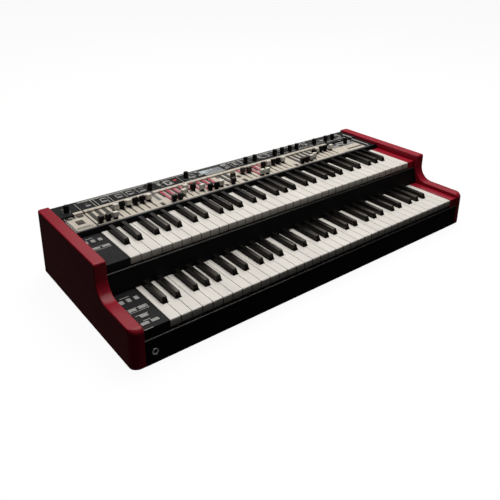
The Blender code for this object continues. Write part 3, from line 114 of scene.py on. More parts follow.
# Finishes. Each is a Principled shader whose colour drifts with a slow noise, whose roughness
# drifts with a second one, and whose relief is a fine noise, all on Object coordinates.
finishColumns = ("colour", "drift", "cloud", "rough", "speck", "relief", "bump")
finishRows = {
    "lacquerRed": ((0.3, 0.01, 0.024), 0.16, 9, (0.28, 0.36), 60, 220, 0.05),
    "sheetBlack": ((0.006, 0.0058, 0.0062), 0.3, 14, (0.42, 0.55), 90, 1500, 0.1),
    "sheetEdge": ((0.06, 0.06, 0.057), 0.2, 30, (0.3, 0.42), 200, 900, 0.05),
    "blockCharcoal": ((0.014, 0.014, 0.015), 0.22, 25, (0.4, 0.52), 180, 2200, 0.16),
    "ivoryPlastic": ((0.72, 0.69, 0.645), 0.07, 30, (0.26, 0.36), 120, 700, 0.01),
    "ebonyPlastic": ((0.0055, 0.005, 0.0045), 0.3, 420, (0.14, 0.22), 160, 900, 0.008),
    "knobBlack": ((0.007, 0.007, 0.007), 0.2, 120, (0.26, 0.38), 400, 2500, 0.06),
    "knobWhite": ((0.7, 0.67, 0.6), 0.06, 120, (0.22, 0.34), 400, 1500, 0.03),
    "knobBrown": ((0.014, 0.008, 0.006), 0.2, 120, (0.25, 0.36), 400, 2000, 0.04),
    "barRed": ((0.36, 0.022, 0.06), 0.1, 90, (0.35, 0.45), 300, 1500, 0.03),
    "barDark": ((0.02, 0.019, 0.019), 0.2, 90, (0.35, 0.45), 300, 1500, 0.03),
    "barBrown": ((0.016, 0.012, 0.01), 0.18, 90, (0.35, 0.45), 300, 1500, 0.03),
    "markWhite": ((0.72, 0.71, 0.68), 0.06, 200, (0.5, 0.6), 300, 2500, 0.02),
    "markPink": ((0.6, 0.3, 0.33), 0.06, 200, (0.5, 0.6), 300, 2500, 0.02),
    "markSilver": ((0.25, 0.25, 0.245), 0.12, 160, (0.5, 0.6), 300, 2500, 0.02),
    "markBrown": ((0.045, 0.03, 0.022), 0.3, 220, (0.5, 0.6), 300, 2500, 0.02),
    "markDark": ((0.01, 0.009, 0.009), 0.1, 200, (0.5, 0.6), 300, 2500, 0.02),
    "markGrey": ((0.11, 0.11, 0.115), 0.1, 200, (0.5, 0.6), 300, 2500, 0.02),
    "capGrey": ((0.27, 0.27, 0.265), 0.08, 150, (0.45, 0.55), 300, 2500, 0.08),
    "capDark": ((0.03, 0.026, 0.024), 0.15, 150, (0.4, 0.52), 300, 2500, 0.08),
    "capRed": ((0.55, 0.02, 0.045), 0.1, 150, (0.35, 0.45), 300, 2500, 0.05),
    "padRubber": ((0.05, 0.05, 0.052), 0.1, 60, (0.65, 0.8), 200, 1500, 0.1),
    "chrome": ((0.62, 0.62, 0.61), 0.05, 80, (0.12, 0.22), 300, 1200, 0.02),
    "zincSteel": ((0.42, 0.43, 0.44), 0.2, 35, (0.38, 0.55), 90, 500, 0.05),
    "socketPlastic": ((0.013, 0.013, 0.014), 0.15, 60, (0.45, 0.58), 250, 1800, 0.12),
    "supplyCase": ((0.3, 0.3, 0.31), 0.12, 20, (0.4, 0.55), 150, 700, 0.05),
    "footRubber": ((0.018, 0.018, 0.018), 0.2, 70, (0.75, 0.9), 250, 1200, 0.25),
    "boardGreen": ((0.012, 0.085, 0.04), 0.3, 160, (0.32, 0.45), 500, 1200, 0.1),
    "panelPaint": ((0.023, 0.023, 0.024), 0.14, 25, (0.42, 0.54), 180, 2500, 0.1),
    # ringMetal is pale and mostly matt, a colour that paints the bright reflection of the metal ring
    "ringMetal": ((0.85, 0.84, 0.82), 0.05, 80, (0.25, 0.35), 300, 1200, 0.02),
    "displayGlass": ((0.13, 0.16, 0.19), 0.1, 40, (0.1, 0.16), 100, 400, 0.0),
}
finishExtras = {
    "lacquerRed": {"shine": 0.14, "coat": 0.08, "stretch": (1.0, 0.35, 1.0)},
    "sheetBlack": {"shine": 0.12}, "sheetEdge": {"metal": 0.6}, "blockCharcoal": {"shine": 0.08},
    "knobBlack": {"shine": 0.06}, "knobWhite": {"bleed": 0.10}, "chrome": {"metal": 1.0},
    "zincSteel": {"metal": 1.0}, "supplyCase": {"metal": 0.8}, "panelPaint": {"shine": 0.02},
    "ringMetal": {"metal": 0.15}, "displayGlass": {"coat": 0.6},
    "ivoryPlastic": {
        "stretch": (1.0, 0.05, 0.05),
        # painted shade on the naturals' front faces: browner towards the bottom, and dark along the gaps
        "frontShade": {"front": -0.2110, "step": 0.143, "depth": (0.0022, 0.0034), "foot": 0.0655,
                       "rise": 0.0615, "height": 0.0165, "most": 0.85, "brown": (0.20, 0.185, 0.14),
                       "gap": -0.409, "pitch": 0.0235, "seam": 0.00085, "dark": (0.06, 0.055, 0.045)}},
    "ebonyPlastic": {
        # light streaks that paint a reflection along the sharps' tops, and a fade that leaves their rear ends
        # in painted shade
        "shine": 0.06, "stretch": (1.0, 0.03, 0.3), "vein": (0.150, 0.132, 0.117), "veinScale": 260,
        "veinRange": (0.25, 1.0, 0.48, 0.60),
        "fade": {"front": -0.1620, "step": 0.143, "rise": (0.003, 0.006), "fall": (0.006, 0.056),
                 "rear": 0.02, "crown": 0.0928, "lift": 0.0615, "edge": (0.0010, 0.0016), "side": 0.42}},
}
shaderSetting = {"reliefDepth": 0.0006, "coatRough": 0.18, "shine": 0.5, "bleedDepth": 0.002}


def addNode(tree, kind, **settings):
    node = tree.nodes.new(kind)
    for key, value in settings.items():
        setattr(node, key, value)
    return node


def feed(tree, socket, value):
    # A socket takes another node's output or a plain value
    if isinstance(value, bpy.types.NodeSocket):
        tree.links.new(value, socket)
    else:
        socket.default_value = value


def mathOf(tree, kind, *values):
    node = addNode(tree, "ShaderNodeMath", operation=kind)
    for socket, value in zip(node.inputs, values):
        feed(tree, socket, value)
    return node.outputs[0]


def product(tree, first, second):
    return mathOf(tree, "MULTIPLY", first, second)


def axesOf(tree, place):
    split = addNode(tree, "ShaderNodeSeparateXYZ")
    tree.links.new(place, split.inputs[0])
    return split.outputs


def scaled(tree, place, scale):
    node = addNode(tree, "ShaderNodeMapping")
    node.inputs["Scale"].default_value = scale
    tree.links.new(place, node.inputs["Vector"])
    return node.outputs["Vector"]


def noiseOf(tree, place, scale, detail=2.0):
    node = addNode(tree, "ShaderNodeTexNoise")
    node.inputs["Scale"].default_value = scale
    node.inputs["Detail"].default_value = detail
    tree.links.new(place, node.inputs["Vector"])
    return node.outputs["Fac"]


def rangeOf(tree, source, low, high, start=0.3, end=0.7):
    node = addNode(tree, "ShaderNodeMapRange")
    for key, value in (("From Min", start), ("From Max", end), ("To Min", low), ("To Max", high)):
        node.inputs[key].default_value = value
    tree.links.new(source, node.inputs["Value"])
    return node.outputs["Result"]


def blended(tree, share, first, second):
    node = addNode(tree, "ShaderNodeMix", data_type="RGBA")
    tree.links.new(share, node.inputs["Factor"])
    for socket, value in ((node.inputs[6], first), (node.inputs[7], second)):
        feed(tree, socket, (*value, 1.0) if isinstance(value, tuple) else value)
    return node.outputs[2]


def wrapped(tree, place, axis, start, period):
    # The distance past start along one axis, modulo the period
    past = mathOf(tree, "SUBTRACT", axesOf(tree, place)[axis], start)
    return mathOf(tree, "FLOORED_MODULO", past, period)


def keyFade(tree, place, fade):
    # The share of the painted reflection streaks on the sharps: 0 on their front faces, then falling
    # from 1 to a low share towards their rear ends, which leaves those ends in painted shade, and lower again
    # on their sides. Depth and height are the same in both manuals, modulo the step and the lift between
    # them.
    depth = wrapped(tree, place, 1, fade["front"], fade["step"])
    rise = rangeOf(tree, depth, 0.0, 1.0, *fade["rise"])
    fall = rangeOf(tree, depth, 1.0, fade["rear"], *fade["fall"])
    level = wrapped(tree, place, 2, fade["crown"], fade["lift"])
    top = rangeOf(tree, level, 1.0, fade["side"], *fade["edge"])
    return product(tree, product(tree, rise, fall), top)


def frontShade(tree, place, colour, look):
    # On the front faces of the naturals only, painted shade: a browner tone growing downwards, and
    # dark edges along the gaps, which are the places no further along x from a gap's middle than the seam
    depth = wrapped(tree, place, 1, look["front"], look["step"])
    height = wrapped(tree, place, 2, look["foot"], look["rise"])
    front = rangeOf(tree, depth, 1.0, 0.0, *look["depth"])
    fall = rangeOf(tree, height, look["most"], 0.0, 0.0, look["height"])
    colour = blended(tree, product(tree, front, fall), colour, look["brown"])
    half = look["pitch"] / 2
    beside = wrapped(tree, place, 0, look["gap"] - half, look["pitch"])
    seam = mathOf(tree, "COMPARE", beside, half, look["seam"])
    return blended(tree, product(tree, front, seam), colour, look["dark"])


def makeFinish(name, look):
    material = bpy.data.materials.new(name)
    material.use_nodes = True
    tree = material.node_tree
    shader = tree.nodes["Principled BSDF"]
    place = addNode(tree, "ShaderNodeTexCoord").outputs["Object"]
    spot = scaled(tree, place, look.get("stretch", (1.0, 1.0, 1.0)))
    light = tuple(min(1.0, part * (1 + look["drift"])) for part in look["colour"])
    dark = tuple(part * (1 - look["drift"]) for part in look["colour"])
    share = rangeOf(tree, noiseOf(tree, spot, look["cloud"], 4.0), 0.0, 1.0)
    colour = blended(tree, share, dark, light)
    # Painted reflection: light streaks along the sharps' tops, spread by keyFade's share
    if "vein" in look:
        streaks = rangeOf(tree, noiseOf(tree, spot, look["veinScale"], 1.0), *look["veinRange"])
        streaks = product(tree, streaks, keyFade(tree, place, look["fade"]))
        colour = blended(tree, streaks, colour, look["vein"])
    # Painted shade on the naturals' front faces
    if "frontShade" in look:
        colour = frontShade(tree, place, colour, look["frontShade"])
    feed(tree, shader.inputs["Base Color"], colour)
    rough = rangeOf(tree, noiseOf(tree, spot, look["speck"], 3.0), *look["rough"])
    feed(tree, shader.inputs["Roughness"], rough)
    if look["bump"]:
        relief = addNode(tree, "ShaderNodeBump")
        relief.inputs["Strength"].default_value = look["bump"]
        relief.inputs["Distance"].default_value = shaderSetting["reliefDepth"]
        feed(tree, relief.inputs["Height"], noiseOf(tree, spot, look["relief"], 2.0))
        feed(tree, shader.inputs["Normal"], relief.outputs["Normal"])
    shader.inputs["Metallic"].default_value = look.get("metal", 0.0)
    shader.inputs["Coat Weight"].default_value = look.get("coat", 0.0)
    shader.inputs["Coat Roughness"].default_value = shaderSetting["coatRough"]
    shader.inputs["Specular IOR Level"].default_value = look.get("shine", shaderSetting["shine"])
    shader.inputs["Subsurface Weight"].default_value = look.get("bleed", 0.0)
    shader.inputs["Subsurface Scale"].default_value = shaderSetting["bleedDepth"]
    return material


finishes = {name: makeFinish(name, {**dict(zip(finishColumns, row)), **finishExtras.get(name, {})})
            for name, row in finishRows.items()}


def areaMask(tree, place, areas):
    # 1 inside any of the rectangles (low x, high x, low y, high y), in millimetres of the panel's plan
    axes, total = axesOf(tree, place), 0.0
    for lowX, highX, lowY, highY in areas:
        insideX = mathOf(tree, "COMPARE", axes[0], float(planX((lowX + highX) / 2)), (highX - lowX) / 2000)
        insideY = mathOf(tree, "COMPARE", axes[1], float(planY((lowY + highY) / 2)), (highY - lowY) / 2000)
        total = mathOf(tree, "MAXIMUM", total, product(tree, insideX, insideY))
    return total


def partsOf(material):
    # A finish's node tree, shader and Object coordinates
    tree = material.node_tree
    place = next(node for node in tree.nodes if node.bl_idname == "ShaderNodeTexCoord").outputs["Object"]
    return tree, tree.nodes["Principled BSDF"], place


# Panel colours, their areas in millimetres of the plan
panelColours = {"cream": (0.60, 0.55, 0.48), "creamShade": (0.52, 0.475, 0.405), "cloud": 60,
                "nose": (0.002, 0.002, 0.002), "noseAreas": ((-60, 880, 270, 291),),
                "creamAreas": ((-41.5, 0.8, 297, 356), (-20, 0.8, 355, 378), (4.3, 752, 297, 378),
                               (751, 841, 298, 337))}


def colourPanel(material, look):
    tree, shader, place = partsOf(material)
    base = shader.inputs["Base Color"].links[0].from_socket
    drift = rangeOf(tree, noiseOf(tree, place, look["cloud"], 4.0), 0.0, 1.0)
    cream = blended(tree, drift, look["creamShade"], look["cream"])
    colour = blended(tree, areaMask(tree, place, look["creamAreas"]), base, cream)
    colour = blended(tree, areaMask(tree, place, look["noseAreas"]), colour, look["nose"])
    feed(tree, shader.inputs["Base Color"], colour)


colourPanel(finishes["panelPaint"], panelColours)

# Display: a pale blue-grey field with two rows of short bars, which are areas times a stepped noise
displayLook = {"field": (0.22, 0.24, 0.26), "ink": (0.62, 0.70, 0.74), "frame": (0.012, 0.014, 0.014),
               "lit": (0.42, 0.50, 0.54), "shade": 0.8, "cloud": 30, "litArea": ((333, 352, 396, 414),),
               "fieldArea": ((333, 396, 390, 414),), "rows": ((334, 372, 408.5, 412.5), (336, 388, 402, 404)),
               "barScale": 420, "barSqueeze": (1.0, 0.02, 0.02), "barEdge": (0.48, 0.50)}


def colourDisplay(material, look):
    tree, shader, place = partsOf(material)
    squeezed = scaled(tree, place, look["barSqueeze"])
    bars = rangeOf(tree, noiseOf(tree, squeezed, look["barScale"], 0.0), 0.0, 1.0, *look["barEdge"])
    written = product(tree, areaMask(tree, place, look["rows"]), bars)
    drift = rangeOf(tree, noiseOf(tree, place, look["cloud"], 2.0), 0.0, 1.0)
    field = blended(tree, drift, look["field"], tuple(look["shade"] * part for part in look["field"]))
    field = blended(tree, areaMask(tree, place, look["litArea"]), field, look["lit"])
    field = blended(tree, written, field, look["ink"])
    colour = blended(tree, areaMask(tree, place, look["fieldArea"]), look["frame"], field)
    feed(tree, shader.inputs["Base Color"], colour)


colourDisplay(finishes["displayGlass"], displayLook)
print("finishes made:", len(finishes))


# Surfaces as numpy arrays

def gridFaces(rows, columns, closedRows=False, closedColumns=True):
    # Each grid point is joined to its neighbours right and above; a closed direction wraps round
    i = np.arange(rows if closedRows else rows - 1)[:, None]
    j = np.arange(columns if closedColumns else columns - 1)[None, :]
    up, right = (i + 1) % rows, (j + 1) % columns
    corners = [i * columns + j, i * columns + right, up * columns + right, up * columns + j]
    return np.stack(np.broadcast_arrays(*corners), -1).reshape(-1, 4).tolist()


def ringStack(rings):
    # Rings of equal count, first to last: quads between neighbours and one face over each end
    levels, count = rings.shape[:2]
    ends = [list(range(count))[::-1], list(range((levels - 1) * count, levels * count))]
    return rings.reshape(-1, 3), gridFaces(levels, count) + ends


def gathered(bodies):
    # Bodies one after another, each one's corner numbers moved up by the points before it
    points, faces, start = [], [], 0
    for cloud, corners in bodies:
        points.append(cloud)
        faces += [[corner + start for corner in face] for face in corners]
        start += len(cloud)
    return np.concatenate(points), faces


def repeated(body, offsets):
    # The same body again at each offset: point plus offset
    cloud, corners = body
    offsets = np.asarray(offsets, float).reshape(-1, 3)
    points = (cloud[None] + offsets[:, None]).reshape(-1, 3)
    return points, [[corner + step * len(cloud) for corner in face]
                    for step in range(len(offsets)) for face in corners]


def slabs(lows, highs):
    # Many square-edged bars at once: each corner takes the low or the high value on each axis
    lows, highs = np.asarray(lows, float).reshape(-1, 3), np.asarray(highs, float).reshape(-1, 3)
    pick = np.array([[0, 0, 0], [1, 0, 0], [1, 1, 0], [0, 1, 0], [0, 0, 1], [1, 0, 1], [1, 1, 1], [0, 1, 1]])
    points = lows[:, None] + (highs - lows)[:, None] * pick[None]
    faces = np.array([[3, 2, 1, 0], [4, 5, 6, 7], [0, 1, 5, 4], [1, 2, 6, 5], [2, 3, 7, 6], [3, 0, 4, 7]])
    corners = (faces[None] + 8 * np.arange(len(lows))[:, None, None]).reshape(-1, 4)
    return points.reshape(-1, 3), corners.tolist()


def barsBetween(x, y, z):
    # Bars from a (low, high) pair on each axis; a single number holds for all the bars
    lows, highs = (np.stack(np.broadcast_arrays(*side), -1) for side in zip(x, y, z))
    return slabs(lows, highs)


def around(middle, half):
    return middle - half, middle + half


def planRings(lowX, highX, lowY, highY, radius, heights, steps=3):
    # Rounded rectangle at each height: a corner's centre plus radius times a quarter of the unit circle
    values = [np.broadcast_to(np.asarray(value, float), np.shape(heights))[:, None]
              for value in (lowX, highX, lowY, highY, radius, heights)]
    lowX, highX, lowY, highY, radius, heights = values
    quarter = np.linspace(0, math.pi / 2, steps + 1)
    angle = np.concatenate([quarter + k * math.pi / 2 for k in range(4)])[None]
    pick = np.repeat([[1, 1], [0, 1], [0, 0], [1, 0]], steps + 1, axis=0)
    centreX = np.where(pick[None, :, 0], highX - radius, lowX + radius)
    centreY = np.where(pick[None, :, 1], highY - radius, lowY + radius)
    x, y = centreX + radius * np.cos(angle), centreY + radius * np.sin(angle)
    return np.stack([x, y, np.broadcast_to(heights, x.shape)], -1)


# The dish's rim as a share of the shorter side, and the smallest corner that rounding leaves
softForm = {"dishRim": 0.22, "leastCorner": 0.0002}


def softBlock(low, high, radius, edge, taper=0.0, dish=0.0, steps=4):
    # Rounded rectangle carried up: inset = taper by height share + edge (1 - cos), and
    # height = top - edge (1 - sin)
    bend = np.linspace(0, math.pi / 2, steps + 1)
    heights = np.concatenate([[low[2]], high[2] - edge * (1 - np.sin(bend))])
    rounding = np.concatenate([[0.0], edge * (1 - np.cos(bend))])
    lean = taper * (heights - low[2]) / (high[2] - low[2])
    if dish:
        rim = softForm["dishRim"] * min(high[0] - low[0], high[1] - low[1])
        heights = np.append(heights, high[2] - dish)
        rounding = np.append(rounding, rounding[-1] + rim)
        lean = np.append(lean, lean[-1])
    inset = lean + rounding
    corner = np.maximum(radius - rounding, softForm["leastCorner"])
    return ringStack(planRings(low[0] + inset, high[0] - inset, low[1] + inset, high[1] - inset, corner,
                               heights))


def blockAt(x, y, halfX, halfY, low, high, *shape, steps=4):
    # A soft block round a middle
    return softBlock((x - halfX, y - halfY, low), (x + halfX, y + halfY, high), *shape, steps=steps)


def turned(profile, centre, facing="up", count=48, closed=False, flutes=0, fluteDepth=0.0, fluteTop=None):
    # Round body: (radius cos a, radius sin a, height); flutes shrink the radius by depth times a
    # raised cosine, squared
    profile = np.asarray(profile, float)
    angle = np.linspace(0, 2 * math.pi, count, endpoint=False)[None]
    radius, height = profile[:, :1], profile[:, 1:]
    if flutes:
        gate = np.where(height <= fluteTop, 1.0, 0.0)
        radius = radius - gate * fluteDepth * (0.5 - 0.5 * np.cos(flutes * angle)) ** 2
    first, second = radius * np.cos(angle), radius * np.sin(angle)
    along = np.broadcast_to(height, first.shape)
    order = {"up": (first, second, along), "front": (first, -along, second), "rear": (first, along, second)}
    rings = np.stack(order[facing], -1) + np.asarray(centre, float)
    if closed:
        return rings.reshape(-1, 3), gridFaces(len(profile), count, closedRows=True)
    return ringStack(rings)


def filleted(corners, steps=10):
    # Outline with rounded corners: at each corner the arc's centre plus radius times the unit circle
    spots = np.array([corner[:2] for corner in corners], float)
    points = []
    for here, before, after, radius in zip(spots, np.roll(spots, 1, 0), np.roll(spots, -1, 0),
                                           [corner[2] for corner in corners]):
        toBefore = (before - here) / np.linalg.norm(before - here)
        toAfter = (after - here) / np.linalg.norm(after - here)
        half = math.acos(np.clip(toBefore @ toAfter, -1, 1)) / 2
        centre = here + (toBefore + toAfter) / np.linalg.norm(toBefore + toAfter) * radius / math.sin(half)
        start, end = (here + way * radius / math.tan(half) - centre for way in (toBefore, toAfter))
        first = math.atan2(start[1], start[0])
        sweep = (math.atan2(end[1], end[0]) - first + math.pi) % (2 * math.pi) - math.pi
        angle = first + sweep * np.linspace(0, 1, steps + 1)
        points.append(centre + radius * np.stack([np.cos(angle), np.sin(angle)], -1))
    return np.concatenate(points)


def outwardOf(outline):
    # Outward direction at each point: the chord between its neighbours, turned a quarter
    chord = np.roll(outline, -1, 0) - np.roll(outline, 1, 0)
    chord /= np.linalg.norm(chord, axis=1, keepdims=True)
    area = np.sum(outline[:, 0] * np.roll(outline[:, 1], -1) - outline[:, 1] * np.roll(outline[:, 0], -1))
    return np.stack([chord[:, 1], -chord[:, 0]], -1) * np.sign(area)


def acrossX(outline, lowX, highX, edge, steps=3):
    # Side outline carried along X: near each end it is inset by edge (1 - cos) while x moves by edge sin
    bend = np.linspace(0, math.pi / 2, steps + 1)
    inward, inset = edge * (1 - np.sin(bend)), edge * (1 - np.cos(bend))
    x = np.concatenate([lowX + inward[::-1], highX - inward])
    inset = np.concatenate([inset[::-1], inset])
    shape = outline[None] - outwardOf(outline)[None] * inset[:, None, None]
    return ringStack(np.concatenate([np.broadcast_to(x[:, None, None], (*shape.shape[:2], 1)), shape], -1))


def makePiece(name, parts, body, standsFor=(), angle=40):
    # parts are (surface, finish name) pairs; every closed body has its faces turned outwards
    surfaces, looks = zip(*parts)
    points, faces = gathered(surfaces)
    used = list(dict.fromkeys(looks))
    numbers = np.repeat([used.index(look) for look in looks], [len(corners) for cloud, corners in surfaces])
    mesh = bpy.data.meshes.new(name)
    mesh.from_pydata(points.tolist(), [], faces)
    for look in used:
        mesh.materials.append(finishes[look])
    mesh.polygons.foreach_set("material_index", numbers.tolist())
    shape = bmesh.new()
    shape.from_mesh(mesh)
    bmesh.ops.recalc_face_normals(shape, faces=shape.faces)
    shape.to_mesh(mesh)
    shape.free()
    mesh.shade_smooth()
    mesh.set_sharp_from_angle(angle=math.radians(angle))
    piece = bpy.data.objects.new(name, mesh)
    bpy.context.scene.collection.objects.link(piece)
    flat = piece.modifiers.new("flatFaces", "WEIGHTED_NORMAL")
    flat.keep_sharp = True
    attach(piece, body)
    if standsFor:
        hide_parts(*standsFor)


def makeMover(name, parts, body):
    # A piece that stands for the one node of a moving body, which has the body's name
    makePiece(name, parts, body, (body,))


# Cheeks
cheekForm = {"front": -0.215, "rear": 0.215, "base": 0.007, "shelf": 0.091, "step": -0.078, "top": 0.160,
             "sweep": 0.036, "shelfEdge": 0.011, "upperEdge": 0.005, "rearTop": 0.005, "lowEdge": 0.003,
             "inner": 0.463, "thick": 0.026, "frontCorner": 0.018, "rearCorner": 0.008, "cornerReach": 0.05,
             "softEdge": 0.0022}


def cheekSurface(form, side):
    # Side outline carried outwards by t: inset = e - sqrt(e2 - past2) at both faces, and the front and
    # rear draw in by R - sqrt(R2 - past2), past being how far t has gone beyond where the rounding starts
    outline = filleted(((form["front"], form["base"], form["lowEdge"]),
                        (form["rear"], form["base"], form["lowEdge"]),
                        (form["rear"], form["top"], form["rearTop"]),
                        (form["step"], form["top"], form["upperEdge"]),
                        (form["step"], form["shelf"], form["sweep"]),
                        (form["front"], form["shelf"], form["shelfEdge"])), steps=14)
    thick, edge, reach = form["thick"], form["softEdge"], form["cornerReach"]
    bend = np.linspace(0, math.pi / 2, 9)
    frontIn, rearIn = ((radius, thick - radius) for radius in (form["frontCorner"], form["rearCorner"]))
    t = np.unique(np.round(np.concatenate([
        edge * (1 - np.cos(bend)),
        *(thick - radius * (1 - np.sin(bend)) for radius, start in (frontIn, rearIn)),
        thick - edge * (1 - np.cos(bend))]), 7))

    def drawnIn(radius, past):
        return radius - np.sqrt(np.maximum(radius ** 2 - np.maximum(past, 0) ** 2, 0))
    inset = drawnIn(edge, edge - t) + drawnIn(edge, t - (thick - edge))
    nearShare = np.clip(1 - (outline[:, 0] - form["front"]) / reach, 0, 1)
    farShare = np.clip(1 - (form["rear"] - outline[:, 0]) / reach, 0, 1)
    shape = outline[None] - outwardOf(outline)[None] * inset[:, None, None]
    shape[:, :, 0] += drawnIn(frontIn[0], t - frontIn[1])[:, None] * nearShare
    shape[:, :, 0] -= drawnIn(rearIn[0], t - rearIn[1])[:, None] * farShare
    x = np.broadcast_to((side * (form["inner"] + t))[:, None, None], (*shape.shape[:2], 1))
    return ringStack(np.concatenate([x, shape], -1))


for side, name in ((-1, "left"), (1, "right")):
    makePiece(name + "CheekLacquered", [(cheekSurface(cheekForm, side), "lacquerRed")],
              "case", (name + "_cheek",))
print("cheeks made")

# Keys, in metres behind the manual's front and from the keys' left edge
keyForm = {"pitch": 0.0235, "gap": 0.0010, "head": 0.049, "height": 0.0156, "edge": 0.0006, "nose": 0.0028,
           "noseEnd": 0.0004, "notch": 0.001, "lip": 0.6, "cover": 0.1315, "tailFront": 0.128,
           "tailInset": 0.0002, "tailEnd": 0.200, "rowCut": 0.0025, "link": (0.197, 0.205), "drop": 0.004,
           "slot": 0.007, "shifts": (-2.8, 2.8, None, -3.8, 0.0, 3.8, None), "count": 36}
sharpForm = {"half": 0.006, "topHalf": 0.0051, "front": 0.050, "slope": 0.005, "rear": 0.1282, "rise": 0.0115,
             "sink": 0.0002, "seat": 0.0004, "inset": 0.0001, "corner": 0.0008, "cornerShare": 0.4,
             "leastCorner": 0.0003, "edge": 0.0009, "tail": (0.127, 0.195), "under": -0.0156, "drop": 0.004,
             "leg": (0.150, 0.160), "legLow": -0.0224, "bar": (0.152, 0.159), "barLow": -0.0221,
             "barRise": 0.0036}
manuals = {"lower": {"front": -0.2105, "top": 0.082, "singles": "cd"},
           "upper": {"front": -0.0675, "top": 0.1435, "singles": ""}}


def keySpans(form):
    # Head sides from the pitch; a tail side stands back by the slot from the sharp beside it
    number = np.arange(form["count"])
    shifts = np.array([np.nan if shift is None else shift / 1000 for shift in form["shifts"]])
    after = np.where(number < form["count"] - 1, shifts[number % 7], np.nan)
    before = np.append(np.nan, after[:-1])
    left, right = number * form["pitch"] + form["gap"] / 2, (number + 1) * form["pitch"] - form["gap"] / 2
    tailLeft = np.where(np.isnan(before), left, number * form["pitch"] + before + form["slot"])
    tailRight = np.where(np.isnan(after), right, (number + 1) * form["pitch"] + after - form["slot"])
    centres = ((number + 1) * form["pitch"] + after)[~np.isnan(after)]
    return left, right, tailLeft, tailRight, centres


keyLeft, keyRight, tailLeft, tailRight, sharpCentres = keySpans(keyForm)
keysStart = float(planX(0))


def naturalSurface(form, chosen, front, top):
    # Plan of ten corners for each key. Ring a: sides move in by edge (1 - cos a) and down by
    # edge (1 - sin a), and the front by nose (1 - cos a) and nose (1 - sin a), which rolls it over
    l, r, tl, tr = (values[chosen] for values in (keyLeft, keyRight, tailLeft, tailRight))
    zero, nose, edge, linked = np.zeros_like(l), form["nose"], form["edge"], len(l) > 1
    head, cover, noseEnd = zero + form["head"], zero + form["cover"], zero + nose + form["noseEnd"]
    headRight, headLeft = (form["head"] + np.where(notched, 0, form["notch"]) for notched in (tr < r, tl > l))
    x = np.stack([l, r, r, r, tr, tr, tl, tl, l, l], -1)
    y = np.stack([zero, zero, noseEnd, head, headRight, cover, cover, headLeft, head, noseEnd], -1)
    right, left = np.where(tr < r, -1, 0), np.where(tl > l, -1, 0)
    moveX = np.broadcast_to([1, -1, -1, -1, -1, -1, 1, 1, 1, 1], x.shape)
    moveY = np.stack([zero, zero, zero, right, right, zero - 1, zero - 1, left, left, zero], -1)
    bend = np.linspace(0, math.pi / 2, 7)[:, None, None]
    isFront = np.arange(10) < 2
    inX = edge * (1 - np.cos(bend)) * moveX
    inY = np.where(isFront, nose * (1 - np.cos(bend)), edge * (1 - np.cos(bend)) * moveY)
    down = np.where(isFront, nose, edge) * (1 - np.sin(bend))
    rings = np.stack([keysStart + x + inX, front + y + inY, top - down + 0 * x], -1)
    low = rings[:1].copy()
    low[..., 2] = top - form["height"]
    lip = low.copy()
    lip[..., 2] += edge
    low[..., 0] += edge * form["lip"] * moveX
    low[..., 1] += edge * form["lip"] * np.where(isFront, 1, moveY)
    rings = np.concatenate([low, lip, rings])
    bodies = [ringStack(rings[:, k]) for k in range(rings.shape[1])]
    level = (top - form["height"], top - form["drop"])
    bodies.append(barsBetween((keysStart + tl + form["tailInset"], keysStart + tr - form["tailInset"]),
                              (front + form["tailFront"], front + form["tailEnd"] - form["rowCut"] * linked),
                              level))
    if linked:
        bodies.append(barsBetween((keysStart + tl[0], keysStart + tr[-1]), [front + y for y in form["link"]],
                                  level))
    return gathered(bodies)


def sharpSurface(form, centres, front, top, linked):
    # Cap: rounded rectangle whose half width and front run straight from base to top, then an
    # edge rounding; bars below it make its tail and, in a row, the leg down to the link bar
    bend = np.linspace(0, math.pi / 2, 5)
    heights = np.concatenate([[-form["sink"]], form["rise"] - form["edge"] * (1 - np.sin(bend))])
    share = np.clip(heights / form["rise"], 0, 1)
    rounding = np.concatenate([[0.0], form["edge"] * (1 - np.cos(bend))])
    half = form["half"] + (form["topHalf"] - form["half"]) * share - rounding
    near = front + form["front"] + form["slope"] * share + rounding
    far = np.full_like(share, front + form["rear"]) - rounding
    corner = np.maximum(form["corner"] - form["cornerShare"] * rounding, form["leastCorner"])
    cap = ringStack(planRings(-half, half, near, far, corner, top + heights))
    sink, under = form["sink"], top + form["under"]
    spans = [((front + form["front"] + sink, front + form["rear"] - sink), (under, top + form["seat"])),
             ([front + y for y in form["tail"]], (under, top - form["drop"]))]
    if linked:
        spans.append(([front + y for y in form["leg"]], (top + form["legLow"], under + sink)))
    core = gathered([barsBetween(around(0, form["half"] - form["inset"]), y, z) for y, z in spans])
    offsets = np.stack([keysStart + centres, 0 * centres, 0 * centres], -1)
    bodies = [repeated(cap, offsets), repeated(core, offsets)]
    if linked:
        low = top + form["barLow"]
        bodies.append(barsBetween((keysStart + centres[0], keysStart + centres[-1]),
                                  [front + y for y in form["bar"]], (low, low + form["barRise"])))
    return gathered(bodies)


for manual, seat in manuals.items():
    front, top, singles = seat["front"], seat["top"], seat["singles"]
    for number, letter in enumerate(singles):
        key = manual + "_key_" + letter
        natural = naturalSurface(keyForm, [number], front, top)
        sharp = sharpSurface(sharpForm, sharpCentres[number:number + 1], front, top, False)
        makeMover(manual + "Natural" + letter.upper(), [(natural, "ivoryPlastic")], key)
        makeMover(manual + "Sharp" + letter.upper(), [(sharp, "ebonyPlastic")], key + "_sharp")
    row = naturalSurface(keyForm, list(range(len(singles), keyForm["count"])), front, top)
    sharpRow = sharpSurface(sharpForm, sharpCentres[len(singles):], front, top, True)
    makeMover(manual + "NaturalRow", [(row, "ivoryPlastic")], manual + "_naturals")
    makeMover(manual + "SharpRow", [(sharpRow, "ebonyPlastic")], manual + "_sharps")
print("keys made")

